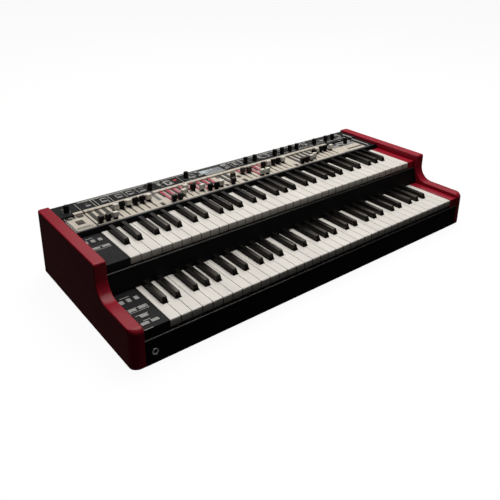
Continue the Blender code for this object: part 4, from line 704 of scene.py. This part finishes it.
# Drawbars. Pulls in millimetres; those of outFrom and more belong to the pulled-out group.
drawbarForm = {"pitch": 17, "home": 0.128, "knob": (0.015, 0.010, 0.017), "low": 0.1503, "corner": 0.0026,
               "edge": 0.0019, "taper": 0.0010, "dish": 0.0005, "neck": (0.0086, 0.0078, 0.0058),
               "neckCorner": 0.0012, "neckSink": 0.0004, "fineEdge": 0.0003, "shaftHalf": 0.004,
               "shaftCorner": 0.0006, "shaftTop": 0.1519, "rear": 0.197, "markPitch": 0.0046, "markCount": 8,
               "markSize": (0.0050, 0.0017), "markEnds": (0.0022, 0.002), "markLayer": (0.0001, 0.00008),
               "stem": (0.0008, 0.002), "stemLow": {"single": 0.1458, "Out": 0.1481, "In": 0.1429},
               "outFrom": 24}
linkForm = {"end": 0.004, "outBar": ((0.1562, 0.1588), (0.1473, 0.1489)), "postHalf": 0.0037,
            "outPosts": ((0.1565, 0.1585), (0.1476, 0.1506)), "inBar": ((0.1257, 0.1303), (0.1419, 0.1439)),
            "toeHalf": 0.002, "toeLevel": (0.1422, 0.1436)}
drawbarSets = {
    "first": {"start": 14, "pulls": (38, 38, 38, 4, 0, 0, 0, 0, 0), "shaft": "barBrown", "mark": "markBrown"},
    "second": {"start": 196, "pulls": (38, 38, 24, 4, 12, 26, 36, 38, 34), "shaft": "barRed",
               "mark": "markPink"},
    "bass": {"start": 366, "pulls": (38, 12), "shaft": "barDark", "mark": "markGrey"},
    "third": {"start": 424, "pulls": (0, 4, 38, 38, 0, 0, 0, 0, 0), "shaft": "barRed", "mark": "markPink"},
    "fourth": {"start": 598, "pulls": (38, 38, 36, 30, 11, 4, 2, 3, 8), "shaft": "barDark",
               "mark": "markGrey"},
}
knobColours = ("knobBrown", "knobBrown", "knobWhite", "knobWhite", "knobBlack", "knobWhite", "knobBlack",
               "knobBlack", "knobWhite")


def drawbarParts(form, x, pull, shaftFinish, markFinish, knobFinish, stemLow):
    # Knob, flat shaft running back under the raised deck, marks along it, and the stem through its slot
    y, low, end, fine = form["home"] - pull, form["low"], form["rear"] - pull, form["fineEdge"]
    width, depth, height = form["knob"]
    across, deep, rise = form["neck"]
    knob = blockAt(x, y, width / 2, depth / 2, low + rise - form["neckSink"], low + height,
                   form["corner"], form["edge"], form["taper"], form["dish"])
    neck = blockAt(x, y, across / 2, deep / 2, low, low + rise, form["neckCorner"], fine, steps=2)
    shaft = softBlock((x - form["shaftHalf"], y, low), (x + form["shaftHalf"], end, form["shaftTop"]),
                      form["shaftCorner"], fine, steps=2)
    spots = y + depth / 2 + form["markEnds"][0] + form["markPitch"] * np.arange(form["markCount"])
    spots = spots[spots < end - form["markEnds"][1]]
    sunk, proud = form["markLayer"]
    marks = barsBetween(around(x, form["markSize"][0] / 2), around(spots, form["markSize"][1] / 2),
                        (form["shaftTop"] - sunk, form["shaftTop"] + proud))
    stem = barsBetween(around(x, form["stem"][0]), around(y, form["stem"][1]), (stemLow, low + fine))
    return [(knob, knobFinish), (neck, "knobBlack"), (shaft, shaftFinish), (marks, markFinish),
            (stem, "barDark")]


def makeDrawbars(form, link, sets):
    parts, places, pulls = ({"Out": [], "In": []} for kind in range(3))
    for name, row in sets.items():
        for number, pull in enumerate(row["pulls"]):
            x = float(planX(row["start"] + number * form["pitch"]))
            group = "single" if name == "first" else "Out" if pull >= form["outFrom"] else "In"
            bar = drawbarParts(form, x, pull / 1000, row["shaft"], row["mark"],
                               knobColours[number] if name != "bass" else "knobBrown", form["stemLow"][group])
            if name == "first":
                makeMover("drawbar%d" % (number + 1), bar, "drawbar_%d" % (number + 1))
            else:
                parts[group] += bar
                places[group].append(x)
                pulls[group].append(pull / 1000)
    outX, inX, inPulls = (np.array(values) for values in (places["Out"], places["In"], pulls["In"]))
    moved = inPulls > 0
    bars = {group: barsBetween((x[0] - link["end"], x[-1] + link["end"]), *link[key])
            for group, x, key in (("Out", outX, "outBar"), ("In", inX, "inBar"))}
    posts = barsBetween(around(outX, link["postHalf"]), *link["outPosts"])
    toes = barsBetween(around(inX[moved], link["toeHalf"]),
                       (link["inBar"][0][0] - inPulls[moved], form["home"]), link["toeLevel"])
    for group, more, body in (("Out", posts, "drawbars_pulled_out"), ("In", toes, "drawbars_pushed_in")):
        joined = gathered([bars[group], more])
        makeMover("drawbars" + group, parts[group] + [(joined, "barDark")], body)


makeDrawbars(drawbarForm, linkForm, drawbarSets)
print("drawbars made")

# Rotary knobs
knobForm = {"lift": 0.0004, "count": 108, "flutes": 18, "fluteDepth": 0.00045, "fluteTop": 0.0153,
            "skirt": ((0.003, -0.0016), (0.003, 0.0002), (0.0056, 0.0), (0.006, 0.0004),
                      (0.006, 0.009295), (0.0059, 0.0152)),
            "shoulder": (0.0057, 0.0169, 0.0011), "dish": ((0.0038, 0.01665), (0.0008, 0.0166)),
            "barHalf": 0.00045, "pointer": ((0.0012, 0.0046), (0.0163, 0.01696)),
            "line": ((0.0048, 0.00598), (0.006, 0.016)), "seats": {"deck": 0.150, "control": 0.154}}
knobSpots = {"volume_knob": (-28.5, 389), "rotary_drive_knob": (178.9, 389), "display_dial": (286.1, 398),
             "effect_rate_knob": (469.05, 390), "effect_depth_knob": (500.5, 390),
             "drive_knob": (571.05, 390), "bass_knob": (598, 390), "middle_knob": (626.9, 390),
             "treble_knob": (653.25, 390), "delay_mix_knob": (722.1, 390), "delay_time_knob": (768, 390),
             "reverb_knob": (796.05, 390), "split_knob": (810.5, 350)}


def knobParts(form, x, y, seat):
    # Profiles are (radius, height above the skirt's foot): fluted skirt, shoulder rounded by
    # rim (1 - cos) across and rim (1 - sin) down, shallow dish. The pointer lies on the top and the
    # line on the skirt, each a bar given by its y range and its height range.
    low = seat + form["lift"]
    radius, top, rim = form["shoulder"]
    bend = np.linspace(0, math.pi / 2, 5)
    shoulder = [(radius - rim * (1 - math.cos(a)), top - rim * (1 - math.sin(a))) for a in bend]
    body = turned([*form["skirt"], *shoulder, *form["dish"]], (x, y, low), count=form["count"],
                  flutes=form["flutes"], fluteDepth=form["fluteDepth"], fluteTop=form["fluteTop"])
    bars = [barsBetween(around(x, form["barHalf"]), [y + part for part in along],
                        [low + part for part in level]) for along, level in (form["pointer"], form["line"])]
    return [(body, "knobBlack")] + [(bar, "markWhite") for bar in bars]


for name, (x, y) in knobSpots.items():
    seat = knobForm["seats"]["deck" if name == "split_knob" else "control"]
    makeMover(name.replace("_knob", "").replace("_", "").title() + "Cap",
              knobParts(knobForm, float(planX(x)), float(planY(y)), seat), name)
print("rotary knobs made")

# Buttons: half sizes of the caps, how far they stand in and out, and the pad under them
buttonForm = {"shape": (0.0009, 0.0005, 0.0001, 0.0002), "small": (0.0045, 0.006), "wide": (0.008, 0.0045),
              "panel": (0.0045, 0.003), "level": (-0.003, 0.0016), "webInset": 0.00035,
              "webLevel": (-0.0037, -0.0023), "controlY": 0.187, "controlLevel": (0.1522, 0.1552),
              "deckLevel": (0.146, 0.1512)}
blockButtons = {
    "lower": {"front": 4.5, "top": 0.082, "small": ((-15.5, 97.5), (-31, 97.5), (-46, 97.5)),
              "wide": ((-21, 64.5), (-41, 64.5), (-31, 38.5), (-21, 16.5), (-41, 16.5))},
    "upper": {"front": 147.5, "top": 0.1435, "small": ((-15.5, 101.5), (-31, 101.5), (-46, 101.5)),
              "wide": ((-18, 70.5), (-38, 70.5))},
}
panelButtonSpots = {
    "control": (22.5, 73.5, 107.5, 141.5, 167, 221.5, 238.5, 255.5, 306.5, 408.5, 449.5, 534.5, 551.5,
                674.5, 691.5, 751, 819),
    "deck": ((-33.6, 358), (-9.8, 358), (-21.7, 329), (167, 305), (349, 308), (404.25, 305), (404.25, 335),
             (577, 306), (759.5, 352), (785, 341), (836, 352)),
    "red": 255.5,
}


def capBody(form, x, y, size, low, high):
    return blockAt(x, y, *form[size], low, high, *form["shape"], steps=3)


for name, row in blockButtons.items():
    parts, corners = [], []
    for size in ("small", "wide"):
        halfX, halfY = buttonForm[size]
        for x, y in row[size]:
            x, y = float(planX(x)), float(planY(y + row["front"]))
            cap = capBody(buttonForm, x, y, size, *(row["top"] + part for part in buttonForm["level"]))
            parts.append((cap, "capGrey"))
            corners += [(x - halfX, y - halfY), (x + halfX, y + halfY)]
    inset = buttonForm["webInset"]
    web = barsBetween(*zip(np.min(corners, 0) + inset, np.max(corners, 0) - inset),
                      [row["top"] + part for part in buttonForm["webLevel"]])
    makeMover(name + "BlockCaps", parts + [(web, "padRubber")], name + "_block_buttons")

# Carrier under the panel: a cross bar, then arms and posts as (half width, y range, height range)
carrierForm = {"end": 0.0028, "bar": ((0.200, 0.208), (0.1503, 0.1519)), "deckPost": (0.0022, 0.0027, 0.202),
               "deckPostLevel": (0.14535, 0.1468), "arm": (0.0025, (0.184, 0.201), (0.1503, 0.1519)),
               "post": (0.0022, (0.1843, 0.1897), (0.1516, 0.1540)),
               "deckArm": (0.0025, (0.201, 0.207), (0.1452, 0.1516))}


def makePanelCaps(form, carrier, spots):
    parts, deck = [], np.array(spots["deck"], float)
    for x in spots["control"]:
        cap = capBody(form, float(planX(x)), form["controlY"], "panel", *form["controlLevel"])
        parts.append((cap, "capRed" if x == spots["red"] else "capDark"))
    for x, y in deck:
        parts.append((capBody(form, float(planX(x)), float(planY(y)), "panel", *form["deckLevel"]),
                      "capDark"))
    controlX, deckX, deckY = planX(spots["control"]), planX(deck[:, 0]), planY(deck[:, 1])
    ends = (min(controlX.min(), deckX.min()) - carrier["end"],
            max(controlX.max(), deckX.max()) + carrier["end"])
    bodies = [barsBetween(ends, *carrier["bar"])]
    for x, key in ((controlX, "arm"), (controlX, "post"), (deckX, "deckArm")):
        half, y, z = carrier[key]
        bodies.append(barsBetween(around(x, half), y, z))
    half, near, far = carrier["deckPost"]
    bodies.append(barsBetween(around(deckX, half), (deckY - near, far), carrier["deckPostLevel"]))
    makeMover("panelCaps", parts + [(gathered(bodies), "padRubber")], "panel_buttons")


makePanelCaps(buttonForm, carrierForm, panelButtonSpots)
print("buttons made")

# Headphone socket, feet and edge strips
headphoneForm = {"centre": (-0.443, -0.2135, 0.032), "depth": (0.0030, 0.0250), "outer": 0.007,
                 "inner": 0.0052,
                 "collar": ((0.00345, 0.0), (0.007, 0.0), (0.007, 0.00077), (0.0066, 0.0014),
                            (0.0062, 0.0014), (0.0058, 0.00126), (0.00345, 0.00042)),
                 "sleeve": ((0.00325, -0.021), (0.00465, -0.021), (0.00465, -0.003), (0.004, -0.0022),
                            (0.004, -0.0002), (0.00325, -0.0002)),
                 "stopper": ((0.0046, -0.0225), (0.0046, -0.0215))}


def makeHeadphone(form):
    # Profiles are (radius, how far forward). Collar: a ring whose face is a hollow cone; sleeve: a closed
    # tube behind it, ended by the stopper; housing: a square frame of four bars round the sleeve
    x, y, z = centre = form["centre"]
    collar, sleeve = (turned(form[key], centre, "front", 64, closed=True) for key in ("collar", "sleeve"))
    stopper = turned(form["stopper"], centre, "front", 32)
    out, mid = form["outer"], form["inner"]
    housing = gathered([barsBetween((x + lowX, x + highX), [y + part for part in form["depth"]],
                                    (z + lowZ, z + highZ))
                        for lowX, highX, lowZ, highZ in ((-out, out, -out, -mid), (-out, out, mid, out),
                                                         (-out, -mid, -mid, mid), (mid, out, -mid, mid))])
    # The collar's pale finish paints the metal ring's bright reflection
    makePiece("headphoneSocket", [(collar, "ringMetal"), (sleeve, "socketPlastic"),
                                  (stopper, "socketPlastic"), (housing, "socketPlastic")],
              "case", ("headphone_jack",))


makeHeadphone(headphoneForm)

footForm = {"x": 0.403, "y": 0.170, "count": 64,
            "profile": ((0.004, 0.0006), (0.009, 0.0), (0.0106, 0.0003), (0.011, 0.0012), (0.0126, 0.0058),
                        (0.013, 0.0064), (0.0127, 0.0067))}


def makeFeet(form):
    # Profile as (radius, height): a hollowed sole, a rounded tread, a leaning side and a flat top
    for end, y in (("front", -form["y"]), ("rear", form["y"])):
        for side, x in (("left", -form["x"]), ("right", form["x"])):
            makePiece("Foot" + end.title() + side.title() + "Pad",
                      [(turned(form["profile"], (x, y, 0.0), count=form["count"]), "footRubber")],
                      "case",
                      ("foot_%s_%s" % (end, side),))


makeFeet(footForm)

# Rounded bead over a sheet's upper edge: centre plus half sizes times the unit circle
stripForms = {"railBead": {"y": (-0.2148, -0.2114), "z": (0.0592, 0.0622)},
              "riserBead": {"y": (-0.0720, -0.0686), "z": (0.1229, 0.1257)}}
stripEnds = {"reach": 0.4625, "edge": 0.0003}
for name, form in stripForms.items():
    bend = np.linspace(0, 2 * math.pi, 20, endpoint=False)
    outline = np.stack([sum(form[key]) / 2 + (form[key][1] - form[key][0]) / 2 * turn(bend)
                        for key, turn in (("y", np.cos), ("z", np.sin))], -1)
    bead = acrossX(outline, -stripEnds["reach"], stripEnds["reach"], stripEnds["edge"])
    makePiece(name, [(bead, "sheetEdge")], "case")

# Right end blocks with softened upper edges
rightBlocks = {"lower": ((0.4375, -0.2105, 0.0537), (0.4627, -0.074, 0.082)),
               "upper": ((0.4375, -0.0675, 0.1152), (0.4627, 0.069, 0.1435)), "soft": 0.0012}
for name in ("lower", "upper"):
    block = softBlock(*rightBlocks[name], rightBlocks["soft"], rightBlocks["soft"])
    makePiece(name + "RightBlockSoft", [(block, "lacquerRed")], "case",
              (name + "_right_block",))
print("socket, feet, beads and blocks made")

# Printed marks, with painted shade at the drawbar slots and beside the keys: thin bars, frames and dots
# laid on the panel and the left blocks, in millimetres of the plan. Bars are (low x, low y, high x, high y),
# frames (middle x, middle y, width, depth).
printForm = {"rise": 0.00006, "sink": 0.00012, "line": 0.7, "control": 0.154, "deck": 0.150,
             "tick": (7.6, 9.2, 0.45), "bold": (226, 387, 240, 412, 2.2)}
printBars = {
    "markWhite": {
        "control": ((0.8, 381, 1.5, 421), (37.5, 381, 38.3, 421), (45, 381, 45.8, 421),
                    (72.5, 381, 73.3, 396), (80.5, 381, 81.3, 421), (117, 384, 117.7, 421),
                    (150, 384, 150.7, 421), (243, 386, 244.2, 412), (270, 384, 270.7, 421),
                    (431, 384, 431.7, 421), (487, 384, 487.7, 421), (585, 384, 585.7, 421),
                    (708, 384, 708.7, 421), (764, 381.6, 842, 382.6), (4.5, 424.6, 846, 425.2),
                    (856.5, 368.6, 859.0, 404)),
        "deck": ((-46.4, 298, -45.7, 352), (-43.4, 298, -42.7, 352), (-44, 356.5, -22, 357.2),
                 (-44, 357, -43.3, 367), (856.5, 302, 859.0, 367.6), (770, 353, 782, 361),
                 (791, 353, 803, 359)),
    },
    "markDark": {
        "deck": ((1.0, 294, 4.0, 367.6), (782, 308.5, 840, 315.5), (841, 297, 844, 367.6),
                 (-40, 362, -36, 367.5), (760, 363, 786, 367.6), (778, 341, 796, 348)),
        "control": ((1.0, 368.4, 4.0, 381.0),),
    },
    "markGrey": {
        "deck": ((169.0, 329, 177.5, 367.5), (-50, 292.5, 856, 295.6)),
        "control": ((170.0, 368.4, 178.0, 379),),
    },
    "markBrown": {
        "deck": ((-18, 356.5, -1.5, 367), (-30, 322, -12.5, 344), (163, 300, 172, 317),
                 (344, 301, 353, 315), (399, 298, 409, 316), (399, 327, 409, 343), (572, 299, 582, 313),
                 (352.5, 355, 360, 367.5)),
    },
    "markSilver": {
        "control": ((19, 390.5, 30, 397.5), (56, 390.5, 69, 397.5), (95, 390.5, 108, 397.5),
                    (126, 390.5, 136, 397.5), (155, 390.5, 171, 397.5), (207, 395, 215, 411),
                    (278, 391, 289, 398), (294, 391, 311, 398), (322, 413, 332, 421), (322, 391, 334, 398),
                    (338, 381, 396, 393.6), (406, 391, 418, 399), (404, 411, 421, 420),
                    (439, 395, 452, 410), (460.5, 391, 465, 421), (523, 396, 535, 414),
                    (553, 400, 561, 421), (690, 401, 709, 408), (758, 396, 774, 407), (835, 399, 842, 419)),
        "deck": ((-34, 358, -26, 367.4), (757, 339, 841, 367.5)),
    },
}
frameSpots = ((66, 402, 15, 17), (103, 402, 15, 17), (132, 402, 15, 17), (415, 402, 13, 17),
              (543, 402, 26, 17), (683, 402, 30, 17), (744, 402, 17, 16), (830, 402, 15, 17),
              (306.5, 403, 17, 16))
labelSpots = {
    "control": ((66, 409), (103, 409), (132, 409), (164, 409), (214, 416), (214, 388), (287, 383),
                (305, 387), (311, 413), (415, 404), (404, 388), (445, 414), (452, 389), (525, 418),
                (537, 393), (557, 395), (604, 408), (640, 408), (682, 412), (700, 413), (746, 412),
                (763, 411), (770, 376), (809, 372), (785, 412), (830, 412), (830, 392), (469, 408),
                (500, 408), (571, 408), (-28, 408), (722, 408)),
    "deck": ((795, 364), (826, 341)),
}
darkLabelSpots = ((190, 300), (577, 318), (760, 304), (772, 330), (800, 330), (826, 330))
dashForm = {"count": 4, "length": (1.2, 3.2), "space": 0.8, "high": 1.1, "seeds": (7, 11)}
denseForm = {"length": (1.4, 4.0), "space": 0.9, "each": 3.6, "least": 0.3}
denseRows = {"markWhite": {"level": "control", "seed": 5, "high": 1.3,
                           "rows": (((8, 180), 418.5), ((8, 180), 422), ((186, 330), 421), ((410, 720), 421),
                                    ((430, 700), 417.5), ((600, 840), 387))},
             "markDark": {"level": "deck", "seed": 9, "high": 2.4,
                          "rows": (((-40, -4), 302.5), ((-40, -4), 306.5), ((-38, -8), 310))}}

# Slots of the drawbars: painted shade on both sides as (half width, low y, high y), wider where a pushed-in
# knob's neck stands, as its painted shadow, a painted shadow band beside the red shafts (from, to, low y,
# high y) and a tick at the front
slotForm = {"inner": 1.1, "all": ((1.9, 305.5, 347),), "band": (-8.4, -4.6, 336, 367.8),
            "tick": (2.6, 371, 372.6), "pushed": ((3.6, 330, 336), (4.6, 336, 342), (5.4, 342, 348.5)),
            "redThird": (2, 4)}


def printedBars(rows, seat):
    lowX, lowY, highX, highY = np.asarray(rows, float).reshape(-1, 4).T
    return barsBetween((planX(lowX), planX(highX)), (planY(lowY), planY(highY)),
                       (seat - printForm["sink"], seat + printForm["rise"]))


def frameBars(spots, line):
    # Four bars round each rectangle (centre x, centre y, width, depth)
    spots = np.asarray(spots, float).reshape(-1, 4)
    x, y, halfX, halfY = spots[:, 0], spots[:, 1], spots[:, 2] / 2, spots[:, 3] / 2
    sides = [(x - halfX, y - halfY, x + halfX, y - halfY + line),
             (x - halfX, y + halfY - line, x + halfX, y + halfY),
             (x - halfX, y - halfY + line, x - halfX + line, y + halfY - line),
             (x + halfX - line, y - halfY + line, x + halfX, y + halfY - line)]
    return np.concatenate([np.stack(side, -1) for side in sides])


def dashRows(spots, form, seed):
    # Each spot gets a short row of unequal dashes, from one seeded generator
    chance = np.random.default_rng(seed)
    spots = np.asarray(spots, float).reshape(-1, 2)
    lengths = chance.uniform(*form["length"], (len(spots), form["count"]))
    ends = np.cumsum(lengths + form["space"], axis=1)
    starts = ends - lengths - form["space"] + (spots[:, :1] - ends[:, -1:] / 2)
    y = np.repeat(spots[:, 1], form["count"])
    return np.stack([starts.ravel(), y - form["high"] / 2, (starts + lengths).ravel(),
                     y + form["high"] / 2], -1)


def denseDashes(rows, form, seed, high):
    # Each row (from x, to x) at its y is filled with unequal dashes: ends are running sums of random lengths
    chance = np.random.default_rng(seed)
    bars = []
    for (first, last), y in rows:
        lengths = chance.uniform(*form["length"], int((last - first) / form["each"]))
        ends = first + np.cumsum(lengths + form["space"])
        bars.append(np.stack(np.broadcast_arrays(ends - lengths, y - high / 2, np.minimum(ends, last),
                                                 y + high / 2), -1))
    return np.concatenate([row[row[:, 0] < row[:, 2] - form["least"]] for row in bars])


def tickFan(centres, seat, inner, outer, width, count=11, spread=150):
    # Ticks round a knob: each is a bar from the inner to the outer radius, turned by its angle
    centres = np.asarray(centres, float).reshape(-1, 2)
    angle = np.radians(np.linspace(-spread, spread, count) + 90)[None, :, None]
    along = np.array([inner, outer, outer, inner, inner, outer, outer, inner])[None, None]
    aside = np.array([-1, -1, 1, 1, -1, -1, 1, 1])[None, None] * width / 2
    x = planX(centres[:, 0])[:, None, None] + (along * np.cos(angle) - aside * np.sin(angle)) / 1000
    y = planY(centres[:, 1])[:, None, None] + (along * np.sin(angle) + aside * np.cos(angle)) / 1000
    z = np.broadcast_to(np.where(np.arange(8) < 4, seat - printForm["sink"], seat + printForm["rise"]),
                        x.shape)
    points = np.stack([x, y, z], -1).reshape(-1, 3)
    faces = slabs(np.zeros((x.shape[0] * x.shape[1], 3)), np.ones((x.shape[0] * x.shape[1], 3)))[1]
    return points, faces


def bandRows(middles, low, high, nearY, farY):
    # A bar from low to high beside each middle
    return np.stack(np.broadcast_arrays(middles + low, nearY, middles + high, farY), -1)


def makePrints(form, slots):
    sets = {finish: [] for finish in printBars}

    def lay(finish, level, rows):
        sets[finish].append(printedBars(rows, form[level]))

    for level in ("control", "deck"):
        for finish, bars in printBars.items():
            lay(finish, level, bars.get(level, ()))
        lay("markWhite", level, frameBars(frameSpots if level == "control" else (), form["line"]))
        lay("markWhite", level, dashRows(labelSpots[level], dashForm, dashForm["seeds"][0]))
    lowX, lowY, highX, highY, line = form["bold"]
    lay("markWhite", "control", frameBars([((lowX + highX) / 2, (lowY + highY) / 2, highX - lowX,
                                            highY - lowY)], line))
    lay("markDark", "control", (lowX + line, lowY + line, highX - line, highY - line))
    for finish, dense in denseRows.items():
        lay(finish, dense["level"], denseDashes(dense["rows"], denseForm, dense["seed"], dense["high"]))
    lay("markDark", "deck", dashRows(darkLabelSpots, dashForm, dashForm["seeds"][1]))
    pitch = drawbarForm["pitch"]
    x, pulls = np.array([(row["start"] + pitch * number, pull) for row in drawbarSets.values()
                         for number, pull in enumerate(row["pulls"])], float).T
    # Painted shade along both sides of every slot, and wider painted shadows round the pushed-in knobs' necks
    for middles, rows in ((x, slots["all"]), (x[pulls < drawbarForm["outFrom"]], slots["pushed"])):
        for half, low, high in rows:
            for near, far in ((-half, -slots["inner"]), (slots["inner"], half)):
                lay("markDark", "deck", bandRows(middles, near, far, low, high))
    # A painted shadow band beside each red shaft
    red = np.concatenate([drawbarSets[name]["start"] + pitch * np.arange(*lanes)
                          for name, lanes in (("second", (0, 9)), ("third", slots["redThird"]))])
    lay("markDark", "deck", bandRows(red, *slots["band"]))
    half, low, high = slots["tick"]
    lay("markDark", "control", bandRows(x, -half, half, low, high))
    rear = [spot for name, spot in knobSpots.items() if name != "split_knob"]
    for spots, level in ((rear, "control"), ([knobSpots["split_knob"]], "deck")):
        sets["markWhite"].append(tickFan(spots, form[level], *form["tick"]))
    for finish, bodies in sets.items():
        makePiece("panelPrint" + finish[4:], [(gathered(bodies), finish)], "case", angle=30)


makePrints(printForm, slotForm)

# Left blocks: printed bars and a frame, and a black strip along each block's edge by the keys that paints the
# shade of the gap there
blockPrints = {
    "lower": {"top": 0.082, "frame": (-31, 69, 42, 13), "reveal": (-4.8, 4.6, -1.1, 141),
              "bars": ((-44, 115.6, -24, 116.4), (-45, 49.6, -20, 50.4), (-40, 30.1, -25, 30.9),
                       (-51, 4.9, -33, 5.6))},
    "upper": {"top": 0.1435, "frame": (-28, 218, 39, 13), "reveal": (-4.8, 147.6, -1.1, 276),
              "bars": ((-41, 264.6, -25, 265.4),)},
    "line": 0.6}
for name in ("lower", "upper"):
    row = blockPrints[name]
    bars = np.concatenate([np.asarray(row["bars"], float), frameBars(row["frame"], blockPrints["line"])])
    makePiece(name + "BlockPrintAndShade", [(printedBars(bars, row["top"]), "markWhite"),
                                    (printedBars(row["reveal"], row["top"]), "sheetBlack")],
              "case", angle=30)
print("printed marks made")

# Rear fittings: nuts round the sockets, screws in the back sheet
rearForm = {"wall": 0.213, "jackX": (0.151, 0.179, 0.207, 0.235, 0.263), "jackZ": 0.051,
            "screwX": (-0.445, -0.250, -0.020, 0.300, 0.445), "screwZ": (0.017, 0.142),
            "smallX": (0.0685, 0.0975, 0.1275), "smallZ": 0.051}
nutForm = {"sides": 6, "profile": ((0.0052, 0.0), (0.0075, 0.0), (0.0075, 0.0007), (0.0069, 0.0010),
                                   (0.0052, 0.0010))}
screwForms = {"large": {"radius": 0.0032, "rise": 0.0013, "recess": 0.0011},
              "small": {"radius": 0.0022, "rise": 0.0009, "recess": 0.0008},
              "all": {"floor": 0.35, "hub": 0.0002, "sink": 0.0005, "count": 28}}


def screwHead(form, shape, centre):
    # Domed head with a round recess, whose floor lies at its share of the rise; the dome's heights
    # follow a quarter circle from the recess to the rim
    rim, rise, recess, floor = form["radius"], form["rise"], form["recess"], shape["floor"]
    bend = np.linspace(math.pi / 2, 0, 6)
    dome = [(recess + (rim - recess) * math.cos(a), rise * (floor + (1 - floor) * math.sin(a)))
            for a in bend]
    profile = [(shape["hub"], rise * floor), (recess, rise * floor), *dome, (rim, -shape["sink"])]
    return turned(profile, centre, "rear", shape["count"])


def makeRear(form, nut, screws):
    nuts = [turned(nut["profile"], (x, form["wall"], form["jackZ"]), "rear", nut["sides"], closed=True)
            for x in form["jackX"]]
    makePiece("socketNuts", [(gathered(nuts), "chrome")], "case", angle=25)
    spots = [("large", x, z) for x in form["screwX"] for z in form["screwZ"]]
    spots += [("small", x, form["smallZ"]) for x in form["smallX"]]
    heads = [screwHead(screws[size], screws["all"], (x, form["wall"], z)) for size, x, z in spots]
    makePiece("rearScrews", [(gathered(heads), "zincSteel")], "case")


makeRear(rearForm, nutForm, screwForms)
print("rear fittings made")

# Carried-over solids take their finishes here
dressing = {
    "sheetBlack": ("base_pan", "front_rail", "riser_panel", "back_panel"), "panelPaint": ("control_panel",),
    "blockCharcoal": ("upper_left_block", "lower_left_block"), "zincSteel": ("upper_keybed", "lower_keybed"),
    "boardGreen": ("main_board", "panel_board"), "supplyCase": ("power_supply",),
    "displayGlass": ("display_window",), "socketPlastic": ("mains_inlet", "rear_jack_board", "power_switch"),
}
for finish, names in dressing.items():
    for name in names:
        solid = cadNodes[name]
        if not solid.material_slots:
            solid.data.materials.append(finishes[finish])
        for slot in solid.material_slots:
            slot.material = finishes[finish]
print("solids dressed:", sum(len(names) for names in dressing.values()))

# Floor: one wide sheet whose height is zero everywhere, lit from within like a light table
floorForm = {"half": 30.0, "colour": (0.07, 0.07, 0.07), "drift": 0.01, "cloud": 0.6, "rough": (0.70, 0.78),
             "speck": 2.0, "relief": 40, "bump": 0.0, "glow": 0.95, "shine": 0.0}


def makeFloor(form):
    side = np.linspace(-form["half"], form["half"], 5)
    x, y = np.meshgrid(side, side)
    points = np.stack([x, y, 0 * x], -1).reshape(-1, 3)
    mesh = bpy.data.meshes.new("floor")
    mesh.from_pydata(points.tolist(), [], gridFaces(5, 5, closedColumns=False))
    material = makeFinish("floorPale", form)
    shader = material.node_tree.nodes["Principled BSDF"]
    shader.inputs["Emission Color"].default_value = (1.0, 1.0, 1.0, 1.0)
    shader.inputs["Emission Strength"].default_value = form["glow"]
    mesh.materials.append(material)
    floor = bpy.data.objects.new("floor", mesh)
    bpy.context.scene.collection.objects.link(floor)
    floor.visible_diffuse = floor.visible_glossy = False  # as on a stand over a dark room


makeFloor(floorForm)
